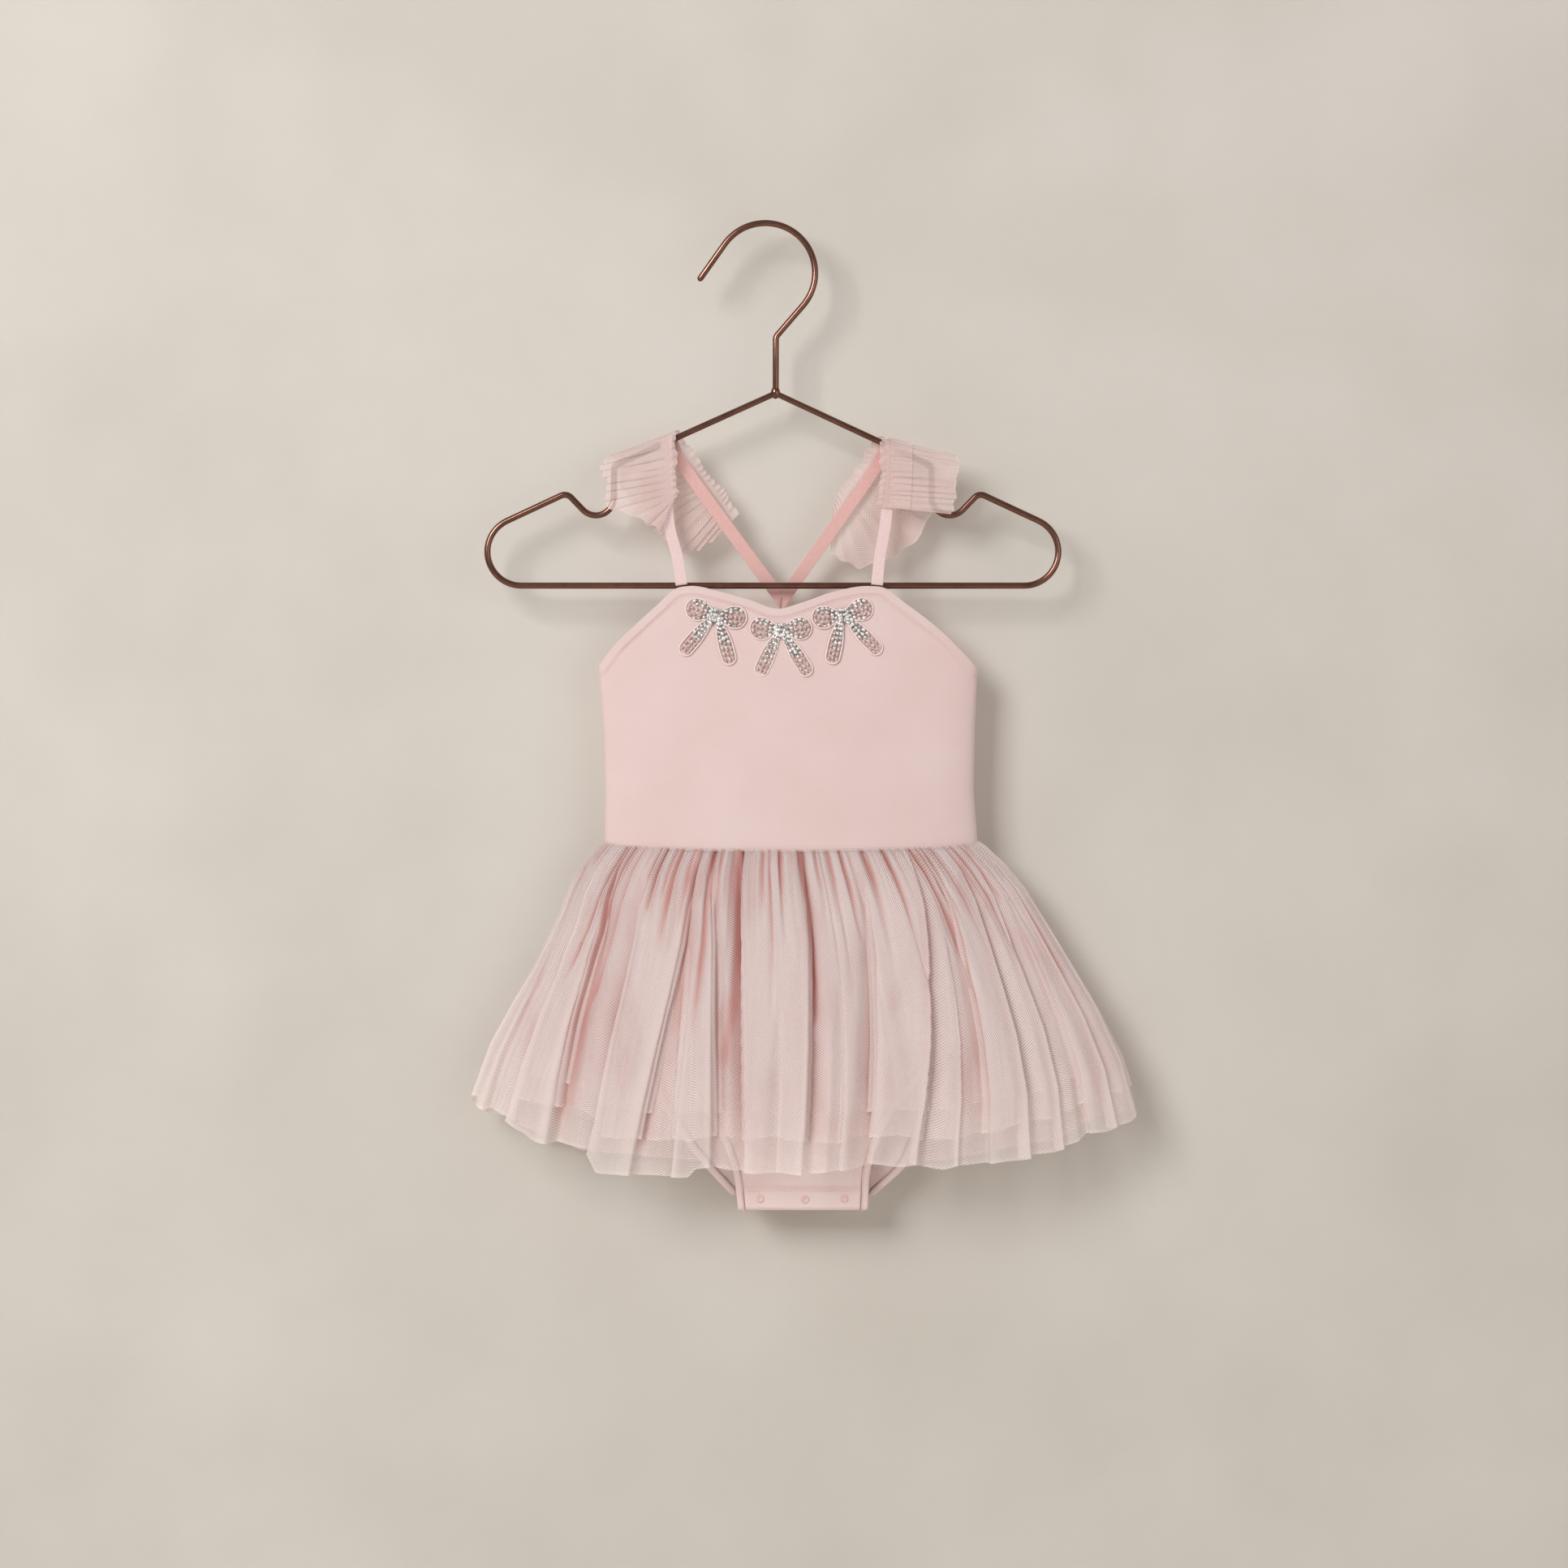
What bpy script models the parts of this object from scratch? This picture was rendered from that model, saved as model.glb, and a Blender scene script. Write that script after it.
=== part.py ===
"""Child's tutu leotard on a bent wire hanger: a knit bodice and brief with a three-layer tulle skirt.

The origin is the inner top of the hanger's hook, where a nail or rail carries it. +X is to the right of a
person looking at the front, +Y runs from the front to the back of the garment, and +Z is up.
"""

import math

import bmesh
import bpy
import numpy as np

# Sizes and places are in millimetres, and solid() turns them into metres.
MM = 0.001
SEAM_GAP = 0.3  # between two pieces that are sewn or that touch
CLOTH = 1.5  # wall at the middle of a panel; it thins to about 1 mm where a panel turns to the side
WIRE_RADIUS = 1.7
WIRE_SIDES = 10
BEND_STEP = 0.26  # radians of a wire bend to each flat of it

# Hook: an arc about its own centre, with a straight lip at one end and a slanted neck at the other.
HOOK_RADIUS = 26.4  # to the middle of the wire
HOOK_ARC = (146.0, -40.0)
HOOK_LIP = (-34.4, -27.6)
HOOK_POINTS = 16
HOOK_BEND = (5.6, -58.6)
BEND_RADIUS = 4.0
SHANK_GAP = 0.4  # the arms slope away under the shank's foot
NECK_TOP = (5.4, -88.5)

# Left half of the hanger's frame, from its neck to its bar: x, z and radius of each bend.
HANGER_MIDDLE = 4.0
FRAME_BENDS = (
    (-80.0, -126.9, 3.4),
    (-80.6, -166.9, 9.5),
    (-105.2, -141.3, 4.7),
    (-210.3, -190.4, 18.0),
)
BAR_HALF = 104.0  # half the straight bottom bar between the two bent arms
BAR_Z = -190.4

# Bodice sections: height, left and right side, depth of the front and of the back.
BODICE = (
    (-188.0, -88.3, 112.4, 7.0, 6.0),
    (-234.0, -88.3, 112.4, 9.0, 8.0),
    (-262.0, -86.0, 111.0, 11.0, 9.5),
    (-298.5, -84.7, 110.2, 12.5, 10.5),
    (-327.0, -85.1, 112.4, 13.0, 11.0),
    (-333.0, -85.1, 112.4, 13.0, 11.0),
)
OVAL_POWER = 0.8  # below 1 the oval's front and back are flatter than an ellipse's
WAIST_SIDE_Z = -327.0
WAIST_DIP = 4.4  # the waist seam hangs lower at the centre front and back
SIDE_ANGLES = (0, 7, 18, 162, 173, 180)  # close columns where a panel turns round the side seam
PANEL_ROWS = 6

# Top edge of each panel, from the left underarm to the right one: x, z.
FRONT_TOP = (
    (-88.3, -233.0),
    (-68.8, -211.6),
    (-47.3, -192.3),
    (-40.9, -191.0),
    (-23.2, -194.0),
    (-8.2, -198.3),
    (7.3, -203.0),
    (18.5, -200.0),
    (36.1, -194.0),
    (55.5, -191.0),
    (62.8, -191.9),
    (73.1, -199.2),
    (94.0, -215.5),
    (112.4, -234.0),
)
BACK_TOP = (
    (-88.3, -234.0),
    (-62.0, -225.5),
    (-28.0, -214.5),
    (3.0, -203.8),
    (15.5, -203.8),
    (48.0, -214.0),
    (84.0, -225.5),
    (112.4, -234.0),
)

# Skirt sections: share of the length, left and right side, depth of the front and of the back.
SKIRT = (
    (0.0, -85.1, 112.4, 13.0, 11.0),
    (0.09, -97.0, 127.5, 17.5, 15.0),
    (0.3, -110.5, 148.5, 25.0, 18.5),
    (0.62, -134.0, 175.5, 34.0, 21.0),
    (1.0, -156.0, 194.0, 42.0, 23.0),
)
SKIRT_STEPS = (0.0, 0.09, 0.3, 0.62, 1.0)
HEM_MIDDLE_Z = -499.0
HEM_SIDE_RISE = 34.0
HEM_POWER = 3.0
LAYER_PITCH_WAIST = 2.0
LAYER_PITCH_HEM = 3.4
# Tulle layers, from the outside: name and how much shorter the layer is than the outer one.
LAYERS = (("skirt_outer", 0.0), ("skirt_middle", 17.5), ("skirt_inner", 32.0))
# Main folds round the skirt, from the left side over the front: angle and half width in degrees, and depth at
# the hem.
FOLDS = (
    (10, 6, 5),
    (24, 7, 6),
    (40, 8, 9),
    (57, 8, 7),
    (69, 4, 4),
    (79, 5, 8),
    (90, 5, 8),
    (101, 6, 7),
    (112, 5, 6),
    (122, 5, 5),
    (134, 7, 9),
    (148, 6, 7),
    (162, 7, 6),
    (186, 8, 4),
    (204, 9, 5),
    (222, 9, 6),
    (241, 9, 4),
    (259, 8, 6),
    (276, 8, 5),
    (294, 9, 4),
    (312, 8, 6),
    (330, 9, 5),
    (348, 8, 4),
)
FOLD_STATIONS = (-1, -0.5, 0, 0.5, 1)  # shares of its half width where a fold has columns of points
STATION_APART = 1.5  # fold stations closer than this many degrees are joined
FOLD_GROWTH = 0.7  # the folds deepen from nothing at the seam by this power of the length

# Brief sections: height, middle, half width, depth of the front and of the back.
BRIEF = (
    (-326.0, 13.65, 92.7, 7.0, 5.0),
    (-380.0, 15.0, 93.0, 8.0, 7.0),
    (-430.0, 16.5, 92.0, 8.0, 7.0),
    (-465.0, 18.0, 90.0, 7.5, 7.0),
    (-522.0, 20.0, 88.0, 6.0, 6.0),
)
BRIEF_TUCK = 3 * LAYER_PITCH_WAIST  # the brief hangs inside the three tulle layers
HIP_Z = -432.0
BRIEF_ROWS = (-352.0, -390.0)  # rows of points between the waist and the hip
# Leg edges from the hip to the crotch: height and half width.
LEG_FRONT = ((-436.0, 84.0), (-444.0, 72.0), (-456.0, 60.0), (-475.0, 46.0), (-498.0, 37.0), (-520.5, 34.5))
LEG_BACK = ((-438.0, 88.0), (-452.0, 81.0), (-470.0, 71.0), (-488.0, 60.0), (-502.0, 49.0), (-514.0, 38.0))
BINDING_WIDTH = 4.0
PANEL_COLUMNS = 12
# The back turns under the crotch and up behind the front flap: outer y and z, inner y and z.
CROTCH_FOLD = (
    (4.4, -518.6, 3.5, -517.4),
    (0.6, -520.0, 0.6, -518.8),
    (-3.3, -518.8, -2.2, -517.8),
    (-4.3, -508.0, -3.1, -508.0),
)
CROTCH_HALF = 31.5
CROTCH_MIDDLE = 20.0

SNAPS = ((-2.8, -514.4), (20.9, -514.8), (41.7, -514.4))  # x and z of each press stud
SNAP_RADIUS = 2.3
SNAP_HEIGHT = 1.2
SNAP_SIDES = 14

# Strap routes from the front edge over the hanger's arm to the back: x, y, z, half width, slope across.
STRAPS = {
    "strap_left": (
        (-44.2, -6.6, -190.4, 3.1, 0.0),
        (-46.6, -4.4, -175.0, 3.0, 0.0),
        (-51.2, -3.2, -156.0, 3.0, 0.0),
        (-52.4, -2.9, -124.0, 3.0, 0.0),
        (-52.2, -2.9, -113.2, 3.2, 0.45),
        (-52.0, 0.0, -110.0, 3.4, 0.45),
        (-50.4, 3.0, -112.7, 3.6, 0.45),
        (-44.0, 3.0, -124.0, 3.7, 0.0),
        (-22.0, 4.0, -153.2, 3.7, 0.0),
        (-4.0, 6.2, -177.2, 3.7, 0.0),
        (6.6, 8.2, -191.2, 3.7, 0.0),
    ),
    "strap_right": (
        (59.0, -6.6, -190.4, 3.1, 0.0),
        (60.6, -4.4, -175.0, 3.0, 0.0),
        (63.8, -3.2, -156.0, 3.0, 0.0),
        (66.0, -2.9, -124.0, 3.0, 0.0),
        (66.2, -3.1, -115.6, 3.2, -0.45),
        (66.0, 0.0, -112.0, 3.4, -0.45),
        (64.3, 3.2, -114.6, 3.6, -0.45),
        (59.0, 3.0, -125.0, 3.7, 0.0),
        (38.6, 4.0, -153.2, 3.7, 0.0),
        (21.3, 6.2, -177.2, 3.7, 0.0),
        (11.2, 8.2, -191.2, 3.7, 0.0),
    ),
}
STRAP_MEET_X = 8.9  # the two straps are mitred together on the back
STRAP_END_Y = 8.6

# Gathered ruffle from its front end over the arm to its back end: stitch line x, y, z and outer edge x, y, z.
RUFFLES = {
    "ruffle_left": (
        (-50.7, -5.7, -151.0, -55.0, -7.6, -162.0),
        (-51.2, -5.7, -146.5, -65.0, -8.1, -156.0),
        (-51.8, -5.7, -141.5, -83.0, -8.6, -149.5),
        (-52.2, -5.7, -136.0, -83.5, -8.6, -141.0),
        (-52.5, -5.7, -130.0, -84.5, -8.1, -135.0),
        (-52.6, -5.7, -124.0, -87.0, -7.1, -130.5),
        (-52.6, -5.7, -117.5, -86.0, -6.0, -126.5),
        (-52.3, -5.4, -112.0, -84.0, -4.2, -122.6),
        (-52.0, 0.0, -107.0, -82.0, 0.0, -119.4),
        (-50.4, 5.5, -111.2, -81.0, 4.2, -122.6),
        (-46.0, 5.5, -119.5, -79.0, 6.0, -131.0),
        (-41.5, 5.7, -125.8, -75.0, 7.2, -140.0),
        (-37.0, 6.0, -132.0, -68.0, 8.0, -149.0),
        (-32.5, 6.2, -138.2, -60.0, 8.6, -158.0),
        (-28.0, 6.4, -144.4, -53.0, 8.8, -167.0),
        (-23.5, 6.6, -150.6, -42.0, 8.8, -173.0),
        (-19.0, 6.8, -156.8, -28.0, 8.6, -165.5),
    ),
    "ruffle_right": (
        (65.0, -5.7, -149.6, 99.0, -8.1, -153.6),
        (65.6, -5.7, -144.0, 100.5, -8.6, -147.0),
        (66.0, -5.7, -138.0, 101.5, -8.6, -140.5),
        (66.2, -5.7, -132.0, 102.3, -8.1, -134.0),
        (66.4, -5.7, -126.0, 103.0, -7.1, -128.6),
        (66.5, -5.7, -120.4, 103.4, -6.0, -126.6),
        (66.4, -5.7, -114.2, 102.8, -5.0, -123.4),
        (66.0, 0.0, -108.8, 101.6, 0.0, -118.8),
        (64.4, 5.7, -113.4, 100.0, 5.0, -123.4),
        (60.2, 5.5, -122.2, 98.0, 6.0, -132.0),
        (56.2, 5.7, -128.2, 94.5, 7.2, -142.0),
        (52.0, 6.0, -134.4, 88.0, 8.0, -154.0),
        (47.8, 6.2, -140.6, 79.0, 8.6, -166.0),
        (43.6, 6.4, -146.8, 66.0, 8.8, -176.0),
        (39.4, 6.6, -153.0, 49.0, 8.8, -180.0),
        (35.2, 6.8, -159.2, 34.5, 8.6, -173.5),
    ),
}
HEADER = 4.2  # frill left beyond the ruffle's stitch line, on the neck side
RUFFLE_SHARES = (0.35, 0.7, 1.0)
FLUTE = 1.2  # how far alternate pleats stand out at the ruffle's outer edge

# Beaded bow appliques: place of the knot and tilt in degrees.
BOWS = (
    ("bow_left", -26.2, -206.5, -12.0),
    ("bow_middle", 8.2, -214.5, 0.0),
    ("bow_right", 41.0, -206.5, 12.0),
)
BOW_HEIGHT = 2.2
# Half of the bow's outline from the top of the knot round to its foot: angle from the right, and reach.
BOW_OUTLINE = (
    (90, 3.5),
    (66, 6.0),
    (52, 11.0),
    (36, 15.0),
    (16, 16.6),
    (-4, 15.6),
    (-20, 11.5),
    (-34, 8.4),
    (-48, 11.0),
    (-55, 20.5),
    (-60, 25.6),
    (-68, 25.4),
    (-73, 19.0),
    (-80, 9.0),
    (-90, 6.0),
)

COLOURS = {
    "knit": (0.81, 0.63, 0.60, 1.0),
    "elastic": (0.80, 0.58, 0.56, 1.0),
    "tulle": (0.74, 0.56, 0.54, 1.0),
    "wire": (0.72, 0.42, 0.32, 1.0),
    "snap": (0.75, 0.55, 0.52, 1.0),
    "beads": (0.62, 0.60, 0.60, 1.0),
}
FINISHES = {"wire": (0.2, 1.0), "beads": (0.25, 0.6), "snap": (0.35, 0.0)}
CLOTH_FINISH = (0.8, 0.0)


def material(slot):
    """Principled material of one finish, made once and shared by the pieces that have it."""
    found = bpy.data.materials.get(slot)
    if found:
        return found
    made = bpy.data.materials.new(slot)
    made.use_nodes = True
    shader = made.node_tree.nodes["Principled BSDF"]
    roughness, metallic = FINISHES.get(slot, CLOTH_FINISH)
    shader.inputs["Base Color"].default_value = COLOURS[slot]
    shader.inputs["Roughness"].default_value = roughness
    shader.inputs["Metallic"].default_value = metallic
    return made


def solid(name, points, faces, slot):
    """One closed body from points in millimetres and its faces, turned to face outwards."""
    mesh = bpy.data.meshes.new(name)
    mesh.from_pydata([tuple(float(c) * MM for c in point) for point in points], [], faces)
    body = bmesh.new()
    body.from_mesh(mesh)
    bmesh.ops.recalc_face_normals(body, faces=body.faces)
    body.to_mesh(mesh)
    body.free()
    mesh.materials.append(material(slot))
    made = bpy.data.objects.new(name, mesh)
    bpy.context.scene.collection.objects.link(made)
    return made


def wall(name, outer, inner, slot, ring=False):
    """Cloth between two equal grids of points; ring closes each row on itself."""
    outer = np.asarray(outer, float)
    inner = np.asarray(inner, float)
    rows, columns = outer.shape[:2]
    points = np.concatenate([outer.reshape(-1, 3), inner.reshape(-1, 3)])
    behind = rows * columns
    faces = []
    across = columns if ring else columns - 1
    for row in range(rows - 1):
        for column in range(across):
            after = (column + 1) % columns
            a, b = row * columns + column, row * columns + after
            c, d = a + columns, b + columns
            faces.append((a, b, d, c))
            faces.append((a + behind, c + behind, d + behind, b + behind))
    for column in range(across):
        after = (column + 1) % columns
        for row in (0, rows - 1):
            a, b = row * columns + column, row * columns + after
            faces.append((a, a + behind, b + behind, b))
    if not ring:
        for row in range(rows - 1):
            for column in (0, columns - 1):
                a, b = row * columns + column, (row + 1) * columns + column
                faces.append((a, b, b + behind, a + behind))
    return solid(name, points, faces, slot)


def sheet(name, middle, slot, thickness=CLOTH):
    """Cloth of even thickness about one grid of points."""
    middle = np.asarray(middle, float)
    normal = np.cross(np.gradient(middle, axis=0), np.gradient(middle, axis=1))
    normal /= np.linalg.norm(normal, axis=2, keepdims=True)
    return wall(name, middle + normal * thickness / 2, middle - normal * thickness / 2, slot)


def section(table, at):
    """The sizes in a table's other columns at one height or share, read between its rows."""
    table = np.asarray(sorted(table), float)
    return [float(np.interp(at, table[:, 0], column)) for column in table[:, 1:].T]


def oval(middle, half, front, back, angle, inset=0.0):
    """x and y on a flat oval round the body: 0 degrees is the left side seam, 90 the centre front."""
    turn = math.radians(angle)
    depth = inset - front if math.sin(turn) > 0 else back - inset
    return middle - (half - inset) * math.cos(turn), depth * abs(math.sin(turn)) ** OVAL_POWER


def side_sizes(table, at):
    """Middle, half width and depths from a table that gives the left and right sides."""
    left, right, front, back = section(table, at)
    return (left + right) / 2, (right - left) / 2, front, back


def waist_z(angle):
    return WAIST_SIDE_Z - WAIST_DIP * abs(math.sin(math.radians(angle)))


def seam_shift(back):
    """Front and back panels stand half a gap either side of the side seam."""
    return SEAM_GAP / 2 if back else -SEAM_GAP / 2


def bodice_panel(name, top_edge, back):
    """Front or back panel, from the waist seam up to its own top edge."""
    middle, half, _, _ = side_sizes(BODICE, WAIST_SIDE_Z)
    top_middle, top_half, _, _ = side_sizes(BODICE, BODICE[0][0])
    edge = np.asarray(top_edge)
    edge_angles = [math.degrees(math.acos((top_middle - x) / top_half)) for x, _ in top_edge]
    columns = sorted({round(angle, 3) for angle in edge_angles[1:-1]} | set(SIDE_ANGLES))
    grids = []
    for inset in (0.0, CLOTH):
        grid = []
        for share in np.linspace(0, 1, PANEL_ROWS):
            row = []
            for angle in columns:
                top_x = top_middle - top_half * math.cos(math.radians(angle))
                top = np.interp(top_x, edge[:, 0], edge[:, 1])
                z = waist_z(angle) + share * (top - waist_z(angle))
                turn = -angle if back else angle
                x, y = oval(*side_sizes(BODICE, z), turn, inset)
                row.append((x, y + seam_shift(back), z))
            grid.append(row)
        grids.append(grid)
    return wall(name, *grids, "knit")


def fold_stations():
    """Angles at the edges, flanks and bottom of each fold, in order round the skirt."""
    stations = set()
    for middle, half, _ in FOLDS:
        for share in FOLD_STATIONS:
            stations.add(round((middle + share * half) % 360, 2))
    ordered = sorted(stations)
    apart = [ordered[0]]
    for angle in ordered[1:]:
        if angle - apart[-1] >= STATION_APART:
            apart.append(angle)
    return apart


def fold_depth(angle):
    """How far the folds draw the tulle in at one angle, at the hem."""
    drawn = 0.0
    for middle, half, depth in FOLDS:
        off = abs((angle - middle + 180) % 360 - 180)
        if off < half:
            drawn = max(drawn, depth * math.cos(math.pi / 2 * off / half) ** 2)
    return drawn


def skirt_layer(name, layer, shorter):
    """One gathered tulle layer, a closed tube from the waist seam to its hem."""
    length = abs(HEM_MIDDLE_Z - WAIST_SIDE_Z)
    share = (length - shorter) / length
    grids = []
    for extra in (0.0, CLOTH):
        grid = []
        for step in SKIRT_STEPS:
            along = step * share
            pitch = LAYER_PITCH_WAIST + (LAYER_PITCH_HEM - LAYER_PITCH_WAIST) * along
            row = []
            for angle in fold_stations():
                rise = HEM_SIDE_RISE * abs(math.cos(math.radians(angle))) ** HEM_POWER
                top = waist_z(angle) - SEAM_GAP
                z = top + along * (HEM_MIDDLE_Z + rise - top)
                inset = layer * pitch + extra + fold_depth(angle) * along**FOLD_GROWTH
                x, y = oval(*side_sizes(SKIRT, along), angle, inset)
                row.append((x, y, z))
            grid.append(row)
        grids.append(grid)
    return wall(name, *grids, "tulle", ring=True)


def brief_point(side, z, half_width, back, inset):
    """Point of the brief's front or back at a height and a distance from its middle."""
    middle, half, front_depth, back_depth = section(BRIEF, z)
    turn = math.degrees(math.acos(min(1.0, half_width / half)))
    angle = turn if side < 0 else 180 - turn
    x, y = oval(middle, half, front_depth, back_depth, -angle if back else angle, inset)
    return (x, y + seam_shift(back), z)


def leg_line(edge, distance):
    """The leg edge with the hip at its top, moved in from the opening."""
    hip_half = section(BRIEF, HIP_Z)[1]
    line = np.array([(hip_half, HIP_Z)] + [(half, z) for z, half in edge], float)
    along = np.gradient(line, axis=0)
    along /= np.linalg.norm(along, axis=1, keepdims=True)
    moved = line + distance * np.stack([along[:, 1], -along[:, 0]], axis=1)
    moved[0] = (hip_half, HIP_Z + distance)
    moved[-1] = (line[-1, 0] - distance, line[-1, 1])
    return moved


def brief_panel(name, edge, back):
    """Front or back of the brief: full width down to the hip, then narrowing between the leg bindings."""
    waist = side_sizes(BODICE, WAIST_SIDE_Z)
    seam = leg_line(edge, BINDING_WIDTH + SEAM_GAP)
    heights = [(None, None), *((z, None) for z in BRIEF_ROWS)] + [(z, half) for half, z in seam]
    grids = []
    for inset in (0.0, CLOTH):
        grid = []
        for z, half_width in heights:
            half = section(BRIEF, z)[1] if z else waist[1]
            start = math.degrees(math.acos(min(1.0, half_width / half))) if half_width else 0.0
            row = []
            for angle in np.linspace(start, 180 - start, PANEL_COLUMNS + 1):
                turn = -angle if back else angle
                if z is None:
                    x, y = oval(*waist, turn, BRIEF_TUCK + inset)
                    row.append((x, y + seam_shift(back), waist_z(angle) - SEAM_GAP))
                else:
                    x, y = oval(*section(BRIEF, z), turn, inset)
                    row.append((x, y + seam_shift(back), z))
            grid.append(row)
        grids.append(grid)
    if back:
        across = CROTCH_MIDDLE + np.linspace(-CROTCH_HALF, CROTCH_HALF, PANEL_COLUMNS + 1)
        for outer_y, outer_z, inner_y, inner_z in CROTCH_FOLD:
            grids[0].append([(x, outer_y, outer_z) for x in across])
            grids[1].append([(x, inner_y, inner_z) for x in across])
    return wall(name, *grids, "knit")


def leg_binding(name, side):
    """Folded strip round one leg opening, from the front flap over the hip to the crotch at the back."""
    grids = []
    for inset in (0.0, CLOTH):
        grid = []
        for edge, back in ((LEG_FRONT, False), (LEG_BACK, True)):
            lines = [leg_line(edge, distance) for distance in (BINDING_WIDTH, 0.0)]
            stations = list(zip(*lines))
            ordered = stations if back else stations[:0:-1]
            for station in ordered:
                grid.append([brief_point(side, z, half, back, inset) for half, z in station])
        grids.append(grid)
    return wall(name, *grids, "knit")


def wire(name, path, start=None, end=None):
    """Round wire along points in the plane of the hanger; start and end turn its cut faces."""
    path = np.asarray(path, float)
    along = np.gradient(path, axis=0)
    along /= np.linalg.norm(along, axis=1, keepdims=True)
    cuts = along.copy()
    if start is not None:
        cuts[0] = start
    if end is not None:
        cuts[-1] = end
    sides = WIRE_SIDES
    points = []
    for (x, z), run, cut in zip(path, along, cuts):
        across = np.array([-cut[1], cut[0]]) * WIRE_RADIUS / abs(float(run @ cut))
        for turn in np.linspace(0, 2 * math.pi, sides, endpoint=False):
            points.append(
                (
                    x + across[0] * math.cos(turn),
                    WIRE_RADIUS * math.sin(turn),
                    z + across[1] * math.cos(turn),
                )
            )
    faces = [tuple(range(sides)), tuple(range(len(points) - sides, len(points)))[::-1]]
    for ring in range(len(path) - 1):
        for side in range(sides):
            after = (side + 1) % sides
            low, high = ring * sides, (ring + 1) * sides
            faces.append((low + side, high + side, high + after, low + after))
    return solid(name, points, faces, "wire")


def rounded(corners):
    """A line through corners, each given with its bend radius, with the bends as arcs."""
    line = [np.array(corners[0][:2], float)]
    for before, corner, after in zip(corners, corners[1:], corners[2:]):
        here = np.array(corner[:2], float)
        back = np.array(before[:2], float) - here
        ahead = np.array(after[:2], float) - here
        back /= np.linalg.norm(back)
        ahead /= np.linalg.norm(ahead)
        half = math.acos(float(np.clip(back @ ahead, -1, 1))) / 2
        centre = here + (back + ahead) / np.linalg.norm(back + ahead) * corner[2] / math.sin(half)
        first = here + back * corner[2] / math.tan(half)
        last = here + ahead * corner[2] / math.tan(half)
        a, b = first - centre, last - centre
        turn = math.atan2(a[0] * b[1] - a[1] * b[0], a @ b)
        steps = max(2, round(abs(turn) / BEND_STEP))
        for step in range(steps + 1):
            angle = turn * step / steps
            spin = np.array([[math.cos(angle), -math.sin(angle)], [math.sin(angle), math.cos(angle)]])
            line.append(centre + spin @ a)
    line.append(np.array(corners[-1][:2], float))
    return line


def hanger():
    """Wire hanger: the hook, two notched arms with their turned ends, and the straight bar."""
    centre = np.array([0.0, -HOOK_RADIUS + WIRE_RADIUS])
    arc = []
    for angle in np.linspace(*HOOK_ARC, HOOK_POINTS):
        turn = math.radians(angle)
        arc.append(centre + HOOK_RADIUS * np.array([math.cos(turn), math.sin(turn)]))
    neck_end = (HOOK_BEND[0], NECK_TOP[1] + WIRE_RADIUS + SHANK_GAP)
    shank = rounded([(*arc[-1], 0), (*HOOK_BEND, BEND_RADIUS), (*neck_end, 0)])
    wire("hanger_hook", [np.array(HOOK_LIP), *arc, *shank[1:]])
    for name, side in (("hanger_arm_left", 1), ("hanger_arm_right", -1)):
        neck_x = HANGER_MIDDLE + (NECK_TOP[0] - HANGER_MIDDLE) * side - SEAM_GAP / 2
        corners = [(neck_x, NECK_TOP[1], 0), *FRAME_BENDS, (HANGER_MIDDLE - BAR_HALF, BAR_Z, 0)]
        line = []
        for x, z in rounded(corners):
            line.append((HANGER_MIDDLE + (x - HANGER_MIDDLE) * side, z))
        if side < 0:
            line[0] = (NECK_TOP[0] + SEAM_GAP / 2, NECK_TOP[1])
        wire(name, line, start=(-side, 0), end=(side, 0))
    reach = BAR_HALF - SEAM_GAP
    wire("hanger_bar", [(HANGER_MIDDLE + offset, BAR_Z) for offset in (-reach, 0, reach)])


def strap(name, route):
    """Flat elastic from the front edge over the arm, mitred with the other strap on the back."""
    route = np.asarray(route, float)
    points, halves, slopes = route[:, :3], route[:, 3], route[:, 4]
    along = np.gradient(points, axis=0)
    along /= np.linalg.norm(along, axis=1, keepdims=True)
    level = np.stack([np.ones_like(slopes), np.zeros_like(slopes), slopes], axis=1)
    across = level - np.sum(level * along, axis=1, keepdims=True) * along
    across /= np.linalg.norm(across, axis=1, keepdims=True)
    grid = [[point - side * half, point + side * half] for point, side, half in zip(points, across, halves)]
    meet = STRAP_MEET_X + math.copysign(SEAM_GAP, points[-1, 0] - STRAP_MEET_X)
    run = points[-1] - points[-2]
    mitre = []
    for corner in grid.pop():
        reach = (meet - corner[0]) / run[0]
        mitre.append((meet, STRAP_END_Y, corner[2] + run[2] * reach))
    grid.append(mitre)
    return sheet(name, grid, "elastic")


def ruffle(name, rows):
    """Gathered tulle strip stitched along a strap: a short frill to the neck, a wide one outwards."""
    rows = np.asarray(rows, float)
    stitch, edge = rows[:, :3], rows[:, 3:]
    outward = edge - stitch
    reach = np.linalg.norm(outward, axis=1, keepdims=True)
    grid = []
    for index, (line, out, far) in enumerate(zip(stitch, outward, reach)):
        crest = FLUTE * (1 if index % 2 else -1) * np.array([0.0, math.copysign(1.0, line[1] or 1.0), 0.0])
        row = [line - out / far * HEADER, line]
        row += [line + out * share + crest * share for share in RUFFLE_SHARES]
        grid.append(row)
    return sheet(name, grid, "tulle")


def panel_y(x, z):
    """Outer face of the bodice's front at x and z."""
    middle, half, front, back = side_sizes(BODICE, z)
    angle = math.degrees(math.acos((middle - x) / half))
    return oval(middle, half, front, back, angle)[1] + seam_shift(False)


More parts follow.
